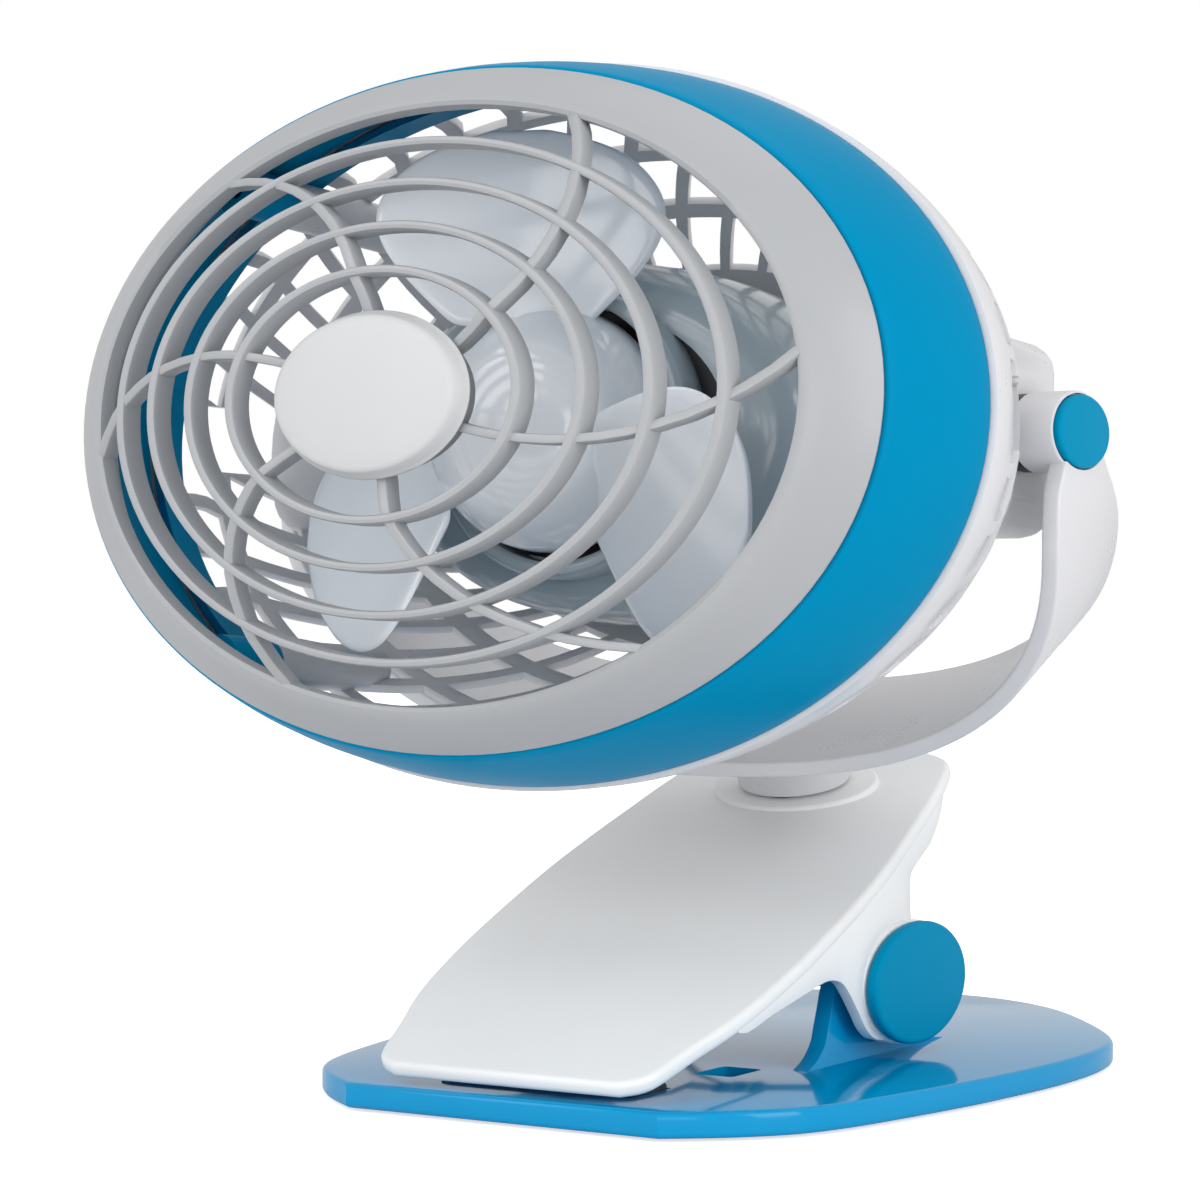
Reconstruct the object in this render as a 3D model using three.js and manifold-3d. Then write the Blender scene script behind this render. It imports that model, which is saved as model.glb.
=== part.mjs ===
// Clip fan: a small oval fan head on a tilting, swivelling yoke, carried by a spring clip
// that also stands on a table. Millimetres; +Z up, the fan blows towards -Y, X = 0 is the
// plane of symmetry and Z = 0 is the underside of the rubber feet.
import * as THREE from "three";
import { mergeVertices } from "three/addons/utils/BufferGeometryUtils.js";
import Module from "manifold-3d";

const wasm = await Module();
wasm.setup();
const rad = THREE.MathUtils.degToRad;

// ---------------------------------------------------------------- driving dimensions
const GAP = 0.3; // clearance between pieces that touch
const THREAD_GAP = 0.05; // clearance of a screw in its own nut
const FEET_PROUD = 0.6; // how far the rubber feet lift the base
const TILT_HEIGHT = 133.6; // tilt axis above the base's underside
const HEAD_DROP = 1.8; // how far the fan's own axis runs below the tilt axis
const HEAD_TILT = 3.5; // degrees the head looks up in the rest pose
const OVAL = 1.4; // width of the head over its height
const ARM_LEAN = 25; // degrees the yoke and the swivel axis lean back

// The head. Radii are half heights; forward distances run from the tilt axis.
const HEAD = {
  wall: 2,
  band: { rear: 51.9, rearRadius: 70.6, front: 78.2, frontRadius: 65.6, bulge: 0.5 },
  ring: { front: 88.2, innerRadius: 57.1, bead: 1, skirtRear: 73.5, skirtRadius: 63.6 },
  shell: { front: 51.6, radius: 71.4, rear: -33, length: 94.9, fullness: 1.2, rearRadius: 19 },
  tongue: { rear: 49, front: 57, radius: 67.2 }, // lip of the rear shell inside the band
};
const GRILLE = {
  rings: [[22.9, 106.6], [31.4, 104], [39.9, 100.6], [48.4, 95.5]], // radius, forward
  ribWidth: 1.6,
  ribDepth: 7,
  hubRadius: 13.6,
  hubRear: 99,
  hubFront: 104.1,
  spokes: 6,
  spokeStart: 3, // degrees
  spokeSwirl: 35, // degrees gained from the hub to the ring
};
const CAP = { rimRadius: 15.4, faceRadius: 14.2, rear: 104.4, front: 108.3, crown: 1.1, pin: 2.5 };
const VENTS = { perRow: 12, rows: [[40, 50.5], [54.5, 64]], swirl: 18, fill: 0.72 };
const TOWER = { inset: 7.1, angle: 48, outer: 5, screwHole: 1.7, headHole: 3.4, headSeat: 50 };
const SCREW = { shaft: 1.4, head: 2.9, headHeight: 2.2, length: 19 };

const ROTOR = {
  radius: 60,
  hubRadius: 24,
  hubRear: 41,
  hubFront: 63,
  hubWall: 2,
  blades: 3,
  bladeCentre: 56,
  bladeThickness: 1.6,
  bladeHalfAngle: 42,
  pitch: 0.4, // rise over run across a blade
};
const POD = { radius: 35.5, front: 36, mouth: 27, wall: 2, rear: -15 };
const MOUNT = { rear: 32, front: 34.6, bore: 7.5 };
const MOTOR = { radius: 18.5, wall: 1.2, rear: -4, front: 31.4, neck: 7, plate: 2 };
const SHAFT = { radius: 1.6, rear: -8, front: 57 };
const BEARING = { radius: 4.5, length: 5 };
const BUTTON = { radius: 6, proud: 2.6, z: 8, travel: 1.2 };
const SOCKET = { radius: 4.2, bore: 2.8, pin: 0.8, z: -8.5, length: 11 };

// The bow that carries the head. Y and Z run across and along it, from the tilt axis.
const YOKE = {
  halfWidth: 94,
  reach: 71.6, // from the tilt axis to the outside of the bottom
  squareness: 2.52,
  thickness: 3.7,
  endRadius: 7.9,
  front: [[-14, -4], [-17.5, -14], [-18, -24], [-13.5, -72.6]], // Y, Z
  rear: [[27.5, -72.6], [24, -61], [20.3, -46], [17.5, -35], [14.5, -22.5], [9.5, -12]],
  hubOffset: 19.7, // swivel axis behind the plane of the tilt axis
  hub: { radius: 9, oval: 1.5, length: 17.9 },
};
// The tilt pivot, from the yoke's outer face inwards. Ovals are half width along Y over
// half height.
const PIVOT = {
  boss: { sunk: 0.6, length: 9.2, radius: 8, oval: 1.61 },
  recess: { depth: 1.3, margin: 0.4 },
  cap: { thickness: 2.2, edge: 0.5, radius: 7.2, oval: 1.68 },
  spacer: { length: 2.4, radius: 5.8, oval: 1.4 },
  seat: { thickness: 3, halfY: 17, halfZ: 17.5, depth: 15.2, squareness: 5 },
  screw: { shaft: 1.9, headRadius: 4, headHeight: 3.2, headSunk: 3.4 },
  nut: { radius: 4, length: 4.5 },
};
// The swivel under the yoke, from the washer down to the nut.
const NECK = {
  shaft: 2.4,
  head: 5.2,
  headHeight: 2.6,
  seatDepth: 1.5,
  washer: { radius: 7.5, height: 1 },
  ring: { radius: 7.6, height: 1.6, bore: 3 },
  nut: { radius: 5, height: 4, below: 0.5, tail: 1 },
};

// The clip
const JAW = {
  slope: 22.6,
  anchor: [45, 54.2], // a point of the top face on the plane of symmetry: Y, Z
  thickness: 3.5,
  edge: 1.2,
  outline: [ // half width, distance up the slope from the anchor
    [26, -116.4], [31.4, -112.6], [34.7, -100.7], [38.5, -86.7], [40.5, -68], [40.9, -50],
    [40.4, -31], [38.9, -15], [37, -1], [35.3, 11], [33, 22], [29.5, 29.5], [20, 34.5],
  ],
  collar: { radius: 12.5, oval: 1.6, edge: 0.8, thickness: 6.5 },
};
// Side walls under the panel's edges, cut to this outline in Y and Z.
const CHEEK = {
  wall: 2.5,
  outline: [
    [62, 62], [61, 57.5], [52.5, 49.4], [44.5, 45.8], [37.5, 42.8], [36, 38.2], [36, 26], [35, 14],
    [28, 10], [18, 9.6], [12.5, 12], [8.7, 16], [4.3, 20.6], [1, 23.1], [-4, 24.1], [-10.4, 23.2],
    [-24.9, 19.7], [-36, 16.9], [-40, 22],
  ],
};
const HINGE = {
  at: [31, 20.5], // Y, Z
  pin: 2.4,
  pinSunk: 2,
  boss: { from: 36.6, to: 41.3, radius: 12.4, oval: 1.62 },
  cap: { thickness: 2.6, edge: 0.8, radius: 12.8, oval: 1.66 },
  washer: { sunk: 1.9, thickness: 1.1, radius: 5, margin: 0.6 },
};
const SPRING = {
  turns: 5,
  coil: 3.6,
  wire: 0.9,
  pitch: 2.2,
  start: -61.3, // degrees round the pin where the coil leaves each straight leg
  end: 69,
  lowerLeg: 22.4,
  upperLeg: 26.4,
};
const BASE = {
  thickness: 5.1,
  edge: 1.1,
  outline: [ // half width, Y, from the straight front edge to the rear tip
    [36, -64], [47, -55.5], [56, -45], [61, -33], [64.5, -19], [68, -2], [70.5, 14], [72.8, 39],
    [71.8, 62], [66.6, 79], [53, 99], [35, 119], [17, 129.6],
  ],
  tip: 132,
  slot: { x: 21, y: -11, half: [4.6, 6.4] },
};
const EAR = {
  from: 31.2,
  to: 34.9,
  outline: [
    [-4, 4.5], [1.5, 6.8], [5, 9.8], [6.4, 13], [8, 17], [9.4, 20.6], [12.4, 24.6], [18, 28.3],
    [25, 30.8], [31, 31.4], [36.5, 29.4], [39.5, 24], [40, 17], [43, 11], [51, 6.5], [66, 4.5],
  ],
};
const PAD = { width: 46, depth: 16, thickness: 1.3, y: -44 };
const FOOT = { radius: 6, pocket: 1.2, places: [[30, -48], [-30, -48], [46, 72], [-46, 72]] };

const BEYOND = 2 * YOKE.halfWidth; // reaches past every face of the fan

// Stations along X from the tilt pivot's seat out to its cap.
function pivotStations() {
  const { boss, spacer, recess, cap, screw } = PIVOT;
  const bossTo = YOKE.halfWidth - boss.sunk;
  const bossFrom = bossTo - boss.length;
  const spacerTo = bossFrom - GAP;
  const spacerFrom = spacerTo - spacer.length;
  const floor = bossTo - recess.depth;
  const headTo = bossTo - screw.headSunk;
  return {
    boss: [bossFrom, bossTo],
    spacer: [spacerFrom, spacerTo],
    seat: spacerFrom - GAP,
    floor,
    cap: [floor + GAP, floor + GAP + cap.thickness],
    screwHead: [headTo - screw.headHeight, headTo],
  };
}
const PIVOT_AT = pivotStations();

// Stations down the swivel axis, below the tilt axis.
function neckStations() {
  const seat = NECK.seatDepth - YOKE.reach;
  const washer = seat + GAP;
  const hub = -YOKE.reach - YOKE.hub.length;
  const ring = hub - GAP;
  const recess = ring - NECK.ring.height - GAP;
  const collar = hub - 2 * GAP;
  const collarBottom = collar - JAW.collar.thickness;
  return {
    seat, washer, hub, ring, recess, collar, collarBottom,
    screw: washer + NECK.washer.height + GAP,
    nut: collarBottom - NECK.nut.below - NECK.nut.height,
  };
}
const NECK_AT = neckStations();
const SWIVEL = [0, YOKE.hubOffset];

// ---------------------------------------------------------------- materials
const material = (color, roughness, metalness = 0) =>
  new THREE.MeshStandardMaterial({ color, roughness, metalness });
const WHITE = material(0xe6e7ea, 0.35);
const GRILLE_WHITE = material(0xd4d4da, 0.4);
const BLUE = material(0x0a8fc8, 0.22);
const BLADE = material(0xc3ccd8, 0.2);
const SMOKE = material(0x8e9ca2, 0.35);
const BLACK = material(0x15171a, 0.5);
const RUBBER = material(0x2a2c30, 0.9);
const STEEL = material(0xb9bcc0, 0.3, 1);
const BRASS = material(0xc09a4a, 0.35, 1);

// ---------------------------------------------------------------- solids
// A manifold-3d body from a closed three.js geometry, and back.
function bodyOf(geometry) {
  const bare = geometry.clone();
  bare.deleteAttribute("normal");
  bare.deleteAttribute("uv");
  const merged = mergeVertices(bare, 1e-3);
  return new wasm.Manifold(
    new wasm.Mesh({
      numProp: 3,
      vertProperties: merged.attributes.position.array,
      triVerts: new Uint32Array(merged.index.array),
    }),
  );
}

function geometryOf(body) {
  const { vertProperties, triVerts } = body.getMesh();
  const geometry = new THREE.BufferGeometry();
  geometry.setAttribute("position", new THREE.BufferAttribute(vertProperties, 3));
  return geometry.setIndex(new THREE.BufferAttribute(triVerts, 1));
}

const combine = (how) => (first, ...others) =>
  geometryOf(others.reduce((body, other) => body[how](bodyOf(other)), bodyOf(first)));
const join = combine("add");
const cut = combine("subtract");
const common = combine("intersect");

// ---------------------------------------------------------------- shapes
// A profile of [radius, forward] points turned about the head's axis and widened to an oval.
function turned(profile, oval = 1, sides = 64) {
  const onAxis = profile[0][0] === 0;
  const points = onAxis ? profile : [...profile, profile[0]];
  return new THREE.LatheGeometry(points.map(([r, h]) => new THREE.Vector2(r, h)), sides)
    .rotateX(Math.PI)
    .scale(oval, 1, 1);
}

const tube = (outer, inner, rear, front, oval = 1, sides = 24) =>
  turned([[outer, rear], [outer, front], [inner, front], [inner, rear]], oval, sides);
const disc = (radius, rear, front, oval = 1, sides = 24) =>
  turned([[0, rear], [radius, rear], [radius, front], [0, front]], oval, sides);

// An outline extruded upwards, optionally with rounded edges.
function slab(outline, height, edge = 0) {
  const shape = new THREE.Shape(outline.map(([x, y]) => new THREE.Vector2(x, y)));
  const geometry = new THREE.ExtrudeGeometry(shape, {
    depth: height - 2 * edge,
    bevelEnabled: edge > 0,
    bevelThickness: edge,
    bevelSize: edge,
    bevelOffset: -edge,
    bevelSegments: 1,
  });
  return geometry.translate(0, 0, edge);
}

const axes = (x, y, z) =>
  new THREE.Matrix4().makeBasis(...[x, y, z].map((v) => new THREE.Vector3(...v)));
// An X-Z outline run along Y, and a Y-Z outline run along X.
const frontal = (outline, y0, y1) =>
  slab(outline, y1 - y0)
    .applyMatrix4(axes([1, 0, 0], [0, 0, 1], [0, -1, 0]))
    .translate(0, y1, 0);
const sideways = (outline, x0, x1) =>
  slab(outline, x1 - x0)
    .applyMatrix4(axes([0, 1, 0], [0, 0, 1], [1, 0, 0]))
    .translate(x0, 0, 0);

// Round bars along X and Z; `oval` widens them along Y, or along X for an upright bar.
const barX = (radius, x0, x1, [y, z] = [0, 0], oval = 1, sides = 24) =>
  new THREE.CylinderGeometry(radius, radius, x1 - x0, sides)
    .rotateZ(Math.PI / 2)
    .scale(1, oval, 1)
    .translate((x0 + x1) / 2, y, z);
const barZ = (radius, z0, z1, [x, y] = [0, 0], oval = 1, sides = 24) =>
  new THREE.CylinderGeometry(radius, radius, z1 - z0, sides)
    .rotateX(Math.PI / 2)
    .scale(oval, 1, 1)
    .translate(x, y, (z0 + z1) / 2);

// A closed, symmetric outline through half-width points, smoothed between them.
function mirrored(half, steps, closeY) {
  const spline = new THREE.SplineCurve(half.map(([x, y]) => new THREE.Vector2(x, y)));
  const right = spline.getPoints(steps).map(({ x, y }) => [x, y]);
  const left = right.map(([x, y]) => [-x, y]).reverse();
  return closeY === undefined ? [...right, ...left] : [...right, [0, closeY], ...left];
}

// Smoothed open line through [y, z] points.
const smooth = (points, steps) =>
  new THREE.SplineCurve(points.map(([x, y]) => new THREE.Vector2(x, y)))
    .getPoints(steps)
    .map(({ x, y }) => [x, y]);

const mirrorX = (geometry) => geometry.clone().rotateY(Math.PI); // for pieces alike front and back
const polar = (radius, degrees) => [
  OVAL * radius * Math.cos(rad(degrees)),
  radius * Math.sin(rad(degrees)),
];

// ---------------------------------------------------------------- head shells
const SHELL_SIDES = 36;
// Radius of the rear shell's outside at a forward distance: a full, slightly pointed dome.
const SHELL_POINTS = [0, 16, 33, 52].map((degrees) => {
  const { front, radius, length, fullness } = HEAD.shell;
  return [
    radius * Math.cos(rad(degrees)) ** fullness,
    front - length * Math.sin(rad(degrees)) ** fullness,
  ];
});

// The dome as a profile from the rear face to the front edge, drawn in by `inset`.
const domeProfile = (inset) => [
  [HEAD.shell.rearRadius - inset / 2, HEAD.shell.rear + inset],
  ...SHELL_POINTS.filter(([, h]) => h > HEAD.shell.rear + 4 + inset)
    .reverse()
    .map(([r, h]) => [r - inset, h]),
];

const domeSolid = (inset, front) =>
  turned(
    [
      [0, HEAD.shell.rear + inset],
      ...domeProfile(inset),
      [HEAD.shell.radius - inset, front],
      [0, front],
    ],
    OVAL,
    SHELL_SIDES,
  );

// One curved vent: a slanting opening between two radii, leaning like the grille's spokes.
function ventOutline(inner, outer, start) {
  const pitch = 360 / VENTS.perRow;
  const lean = (r) => (VENTS.swirl * (r - inner)) / (outer - inner);
  const edge = (r, share) => polar(r, start + lean(r) + share * pitch);
  return [
    edge(inner, 0), edge(inner, VENTS.fill), edge(outer, VENTS.fill), edge(outer, 0),
  ];
}

const vents = () =>
  VENTS.rows.flatMap(([inner, outer], row) =>
    Array.from({ length: VENTS.perRow }, (_, i) =>
      frontal(
        ventOutline(inner, outer, ((i + row / 2) * 360) / VENTS.perRow),
        -HEAD.shell.front,
        HEAD.wall - HEAD.shell.rear,
      ),
    ),
  );

const towerSpots = [1, -1].flatMap((side) =>
  [1, -1].map((up) => {
    const [x, z] = polar(HEAD.band.rearRadius - TOWER.inset, TOWER.angle);
    return [side * x, up * z];
  }),
);
const post = (radius, rear, front, [x, z], sides = 10) =>
  disc(radius, rear, front, 1, sides).translate(x, 0, z);

// The flat seat for a tilt pivot on each side: a window frame with a thick floor.
function pivotSeat(side) {
  const { thickness, halfY, halfZ, depth, squareness } = PIVOT.seat;
  const { seat } = PIVOT_AT;
  const frame = (grow, from, to) => {
    const corners = superellipse(halfY + grow, halfZ + grow, squareness, 12);
    return onSide(side, sideways(corners, from, to)).translate(0, 0, HEAD_DROP);
  };
  const block = join(
    frame(HEAD.wall, seat - depth, seat),
    common(frame(HEAD.wall, seat - depth, BEYOND), domeSolid(0, HEAD.shell.front)),
  );
  return { block, hollow: frame(0, seat - 2 * depth, seat - thickness), window: frame(0, seat, BEYOND) };
}

function superellipse(halfX, halfY, power, count) {
  return Array.from({ length: count }, (_, i) => {
    const [c, s] = [Math.cos((2 * Math.PI * i) / count), Math.sin((2 * Math.PI * i) / count)];
    const reach = (v) => Math.sign(v) * Math.abs(v) ** (2 / power);
    return [halfX * reach(c), halfY * reach(s)];
  });
}

function rearShell() {
  const { shell, tongue, wall } = HEAD;
  const skin = cut(
    domeSolid(0, shell.front),
    domeSolid(wall, shell.front + 1),
  );
  const lip = turned(
    [
      [shell.radius - wall - 0.4, tongue.rear - 3],
      [shell.radius - 0.8, tongue.rear],
      [tongue.radius, shell.front],
      [tongue.radius, tongue.front],
      [tongue.radius - wall, tongue.front],
      [tongue.radius - wall, tongue.rear],
    ],
    OVAL,
    SHELL_SIDES,
  );
  const seats = [1, -1].map(pivotSeat);
  const whole = domeSolid(0, shell.front);
  const towers = towerSpots.map((at) =>
    join(
      common(post(TOWER.outer, 5, shell.front - 0.5, at), whole),
      common(post(TOWER.outer, shell.front - 1, tongue.front, at), disc(66, 40, 60, OVAL, 72)),
    ),
  );
  const podSeat = common(
    tube(POD.radius - 1.4, POD.radius - 3.6, shell.rear, POD.rear - GAP, OVAL, SHELL_SIDES),
    whole,
  );
  const drilled = towerSpots.flatMap((at) => [
    post(TOWER.headHole, -10, TOWER.headSeat, at),
    post(TOWER.screwHole, TOWER.headSeat - 1, tongue.front + 1, at, 8),
  ]);
  const { seat } = PIVOT_AT;
  const holes = [1, -1].map((side) =>
    onSide(side, barX(PIVOT.screw.shaft + GAP, seat - PIVOT.seat.depth, seat + GAP, [0, 0], 1, 16))
      .translate(0, 0, HEAD_DROP),
  );
  const rearHoles = [
    disc(BUTTON.radius + GAP, shell.rear - 1, shell.rear + 6).translate(0, 0, BUTTON.z),
    disc(SOCKET.radius + GAP, shell.rear - 1, shell.rear + 6, 1, 20).translate(0, 0, SOCKET.z),
  ];
  return cut(
    join(cut(skin, ...vents()), lip, podSeat, ...towers, ...seats.map(({ block }) => block)),
    ...seats.flatMap(({ hollow, window }) => [hollow, window]),
    ...drilled,
    ...holes,
    ...rearHoles,
  );
}

function centreBand() {
  const { band, wall, tongue } = HEAD;
  const at = (t, inset) => [
    band.rearRadius + (band.frontRadius - band.rearRadius) * t +
      4 * band.bulge * t * (1 - t) * 2 - inset,
    band.rear + (band.front - band.rear) * t,
  ];
  const steps = [0, 0.33, 0.67, 1];
  const outside = steps.map((t) => at(t, 0));
  const inside = steps.map((t) => at(t, wall)).reverse();
  const whole = turned([[0, band.rear], ...outside, [0, band.front]], OVAL, 44);
  const posts = towerSpots.map((place) =>
    common(post(TOWER.outer, tongue.front + GAP, HEAD.ring.skirtRear - 1, place), whole),
  );
  const drilled = towerSpots.map((place) =>
    post(TOWER.screwHole, tongue.front - 1, HEAD.ring.skirtRear - 3, place, 8),
  );
  return cut(join(turned([...outside, ...inside], OVAL, 44), ...posts), ...drilled);
}

// ---------------------------------------------------------------- grille
function grilleRing() {
  const { ring, band, wall } = HEAD;
  const [outer, rear] = [band.frontRadius - 0.6, band.front + GAP];
  const inner = ring.innerRadius;
  return turned(
    [
      [ring.skirtRadius, ring.skirtRear],
      [ring.skirtRadius, rear],
      [outer, rear],
      [outer, rear + 0.6],
      [(outer + inner) / 2, (rear + ring.front) / 2 + 1.2],
      [inner + ring.bead, ring.front],
      [inner - ring.bead, ring.front - 0.6],
      [inner - ring.bead, ring.front - GRILLE.ribDepth],
      [inner + wall / 2, ring.front - wall - 1],
      [ring.skirtRadius - wall + 0.4, rear + 0.6],
      [ring.skirtRadius - wall + 0.4, ring.skirtRear],
    ],
    OVAL,
    44,
  );
}

const grilleRib = ([radius, front]) => {
  const half = GRILLE.ribWidth / 2;
  const rear = front - GRILLE.ribDepth;
  return turned(
    [
      [radius - half, rear], [radius + half, rear], [radius + half, front - 0.7],
      [radius, front], [radius - half, front - 0.7],
    ],
    OVAL,
    32,
  );
};

// The domed layer that the spokes are cut from.
function spokeLayer() {
  const face = [
    [0, GRILLE.hubFront + 0.5],
    [CAP.rimRadius + 0.5, GRILLE.hubFront + 0.5],
    ...GRILLE.rings,
    [HEAD.ring.innerRadius + 0.4, HEAD.ring.front],
  ];
  const front = face.map(([r, h]) => [r, h - 0.5]);
  const rear = face.map(([r, h]) => [r, h - GRILLE.ribDepth + 0.6]);
  return turned([...rear, ...front.reverse()], OVAL, 28);
}

function spokeOutline(index) {
  const start = 30 + (index * 360) / GRILLE.spokes + GRILLE.spokeStart;
  const reach = HEAD.ring.innerRadius;
  const angle = (r) => start + GRILLE.spokeSwirl * (r / reach) ** 2;
  const radii = [8, 22, 36, 47, reach + 0.3];
  const spread = (r, side) => polar(r, angle(r) + (side * GRILLE.ribWidth * 90) / (Math.PI * r));
  return [...radii.map((r) => spread(r, -1)), ...radii.reverse().map((r) => spread(r, 1))];
}

function frontGrille() {
  const layer = spokeLayer();
  const spokes = Array.from({ length: GRILLE.spokes }, (_, i) =>
    common(frontal(spokeOutline(i), -120, -70), layer),
  );
  const hub = cut(
    disc(GRILLE.hubRadius, GRILLE.hubRear, GRILLE.hubFront, OVAL, 48),
    disc(CAP.pin + GAP, GRILLE.hubRear - 1, GRILLE.hubFront + 1, 1, 16),
  );
  return join(grilleRing(), ...GRILLE.rings.map(grilleRib), ...spokes, hub);
}

const grilleCap = () =>
  join(
    turned(
      [
        [0, CAP.rear], [CAP.rimRadius, CAP.rear], [CAP.rimRadius, CAP.rear + 0.9],
        [CAP.rimRadius - 0.6, CAP.rear + 1.2], [CAP.faceRadius + 0.2, CAP.front - 0.6],
        [CAP.faceRadius - 0.6, CAP.front], [CAP.faceRadius * 0.6, CAP.front + CAP.crown * 0.8],
        [0, CAP.front + CAP.crown],
      ],
      OVAL,
      40,
    ),
    disc(CAP.pin, GRILLE.hubRear - 1, CAP.rear + 1, 1, 16),
  );

// ---------------------------------------------------------------- rotor and motor
// A paddle blade: a twisted sheet, rounded at the tip, widest towards the outside.
function blade(index) {
  const [along, across] = [7, 5];
  const root = ROTOR.hubRadius - 3;
  const centre = 90 + (index * 360) / ROTOR.blades;
  const point = (i, j, face) => {
    const t = i / along;
    const r = root + (ROTOR.radius - root) * Math.sin((t * Math.PI) / 2);
    const taper = Math.sqrt(Math.max(1 - t ** 4, 0.004)) * (0.5 + 0.5 * Math.sin(t * 1.9));
    const offset = ROTOR.bladeHalfAngle * taper * ((2 * j) / across - 1);
    const angle = rad(centre + offset + 8 * t);
    const rise = ROTOR.pitch * rad(offset) * Math.min(r, 38);
    return [
      r * Math.cos(angle),
      -(ROTOR.bladeCentre + rise + (face * ROTOR.bladeThickness) / 2),
      r * Math.sin(angle),
    ];
  };
  return sheet(point, along, across);
}

// A closed thin sheet from a grid of points on its two faces.
function sheet(point, along, across) {
  const positions = [];
  const quad = (a, b, c, d) => positions.push(...a, ...c, ...b, ...a, ...d, ...c);
  for (let i = 0; i < along; i++)
    for (let j = 0; j < across; j++)
      for (const face of [1, -1]) {
        const ring = [[i, j], [i, j + 1], [i + 1, j + 1], [i + 1, j]];
        quad(...(face > 0 ? ring : ring.reverse()).map(([a, b]) => point(a, b, face)));
      }
  const rim = [
    ...Array.from({ length: across }, (_, j) => [0, j]),
    ...Array.from({ length: along }, (_, i) => [i, across]),
    ...Array.from({ length: across }, (_, j) => [along, across - j]),
    ...Array.from({ length: along }, (_, i) => [along - i, 0]),
  ];
  rim.forEach(([i, j], k) => {
    const [ni, nj] = rim[(k + 1) % rim.length];
    quad(point(i, j, -1), point(ni, nj, -1), point(ni, nj, 1), point(i, j, 1));
  });
  return new THREE.BufferGeometry().setAttribute(
    "position",
    new THREE.Float32BufferAttribute(positions, 3),
  );
}

function fanRotor() {
  const { hubRadius: r, hubRear: rear, hubFront: front, hubWall: wall } = ROTOR;
  const dome = (inset) => [
    [r - inset, front - 15], [r * 0.94 - inset, front - 9], [r * 0.76 - inset, front - 4 - inset],
    [r * 0.45, front - 1 - inset], [0, front - inset],
  ];
  const shell = cut(
    turned([[0, rear], [r, rear], ...dome(0)], 1, 22),
    turned([[0, rear - 1], [r - wall, rear - 1], ...dome(wall)], 1, 22),
  );
  const core = disc(5, rear, front - 1.5, 1, 20);
  const blades = [0, 1, 2].map((i) => cut(blade(i), disc(r - 1, rear - 5, front + 9, 1, 24)));
  const bore = disc(SHAFT.radius + 0.05, rear - 1, SHAFT.front + GAP, 1, 16);
  return cut(join(shell, core, ...blades), bore);
}

const podProfile = (inset) => [
  [POD.radius - inset, POD.rear + 10], [POD.radius + 1 - inset, 8], [POD.radius - 1 - inset, 22],
  [POD.mouth + 2.6 - inset / 2, POD.front - 3 - inset / 2],
];
function motorPod() {
  const { wall, rear, front, mouth } = POD;
  const body = turned([
    [mouth, rear], [POD.radius - 2, rear], ...podProfile(0), [mouth, front],
    [mouth - wall, front], [mouth - wall, MOUNT.front + GAP], [mouth, MOUNT.front + GAP],
    [mouth, MOUNT.rear - GAP], ...podProfile(wall).reverse(), [mouth, rear + wall],
  ], OVAL, 28);
  return body;
}

const motorMount = () =>
  cut(
    disc(POD.mouth - GAP, MOUNT.rear, MOUNT.front, OVAL, 28),
    disc(MOUNT.bore + GAP, MOUNT.rear - 1, MOUNT.front + 1, 1, 24),
    ...motorScrewSpots.map((at) => post(SCREW.shaft + GAP, MOUNT.rear - 1, MOUNT.front + 1, at, 12)),
  );
const motorScrewSpots = [[12.5, 0], [-12.5, 0]];

// The motor: a can closed by an end plate, an armature on the shaft and two sleeve bearings.
const motorCan = () => {
  const { radius: r, wall, rear, front, neck } = MOTOR;
  return cut(
    join(
      cut(disc(r, rear, front, 1, 20), disc(r - wall, rear - 1, front - wall, 1, 20)),
      disc(neck, front - BEARING.length - 1, front + 2.6, 1, 20),
      ...motorScrewSpots.map((at) => post(3, front - 6, front, at, 12)),
    ),
    disc(BEARING.radius + GAP, front - BEARING.length - 2, front + 1, 1, 20),
    disc(SHAFT.radius + GAP, front, front + 4, 1, 16),
    ...motorScrewSpots.map((at) => post(SCREW.shaft + GAP, front - 5, front + 1, at, 12)),
  );
};
const motorEndCap = () => {
  const { radius: r, wall, rear, neck, plate } = MOTOR;
  return cut(
    join(
      disc(r - wall - GAP, rear + 0.5, rear + 0.5 + plate, 1, 20),
      disc(neck, rear - 4, rear + 1, 1, 20),
    ),
    disc(BEARING.radius + GAP, rear - 2.5, rear + 4, 1, 20),
    disc(SHAFT.radius + GAP, rear - 5, rear + 4, 1, 16),
  );
};
const armature = () =>
  join(
    tube(MOTOR.radius - MOTOR.wall - 2.5, SHAFT.radius + 0.02, 6, 20, 1, 20),
    tube(6, SHAFT.radius + 0.02, 1.5, 23, 1, 20),
  );
const bearing = (rear) =>
  tube(BEARING.radius, SHAFT.radius + 0.05, rear, rear + BEARING.length, 1, 20);

const panScrew = (headRear, length, at) =>
  join(
    post(SCREW.head, headRear, headRear + SCREW.headHeight, at),
    post(SCREW.shaft, headRear + SCREW.headHeight - 0.5, headRear + length, at, 12),
  );

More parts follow.
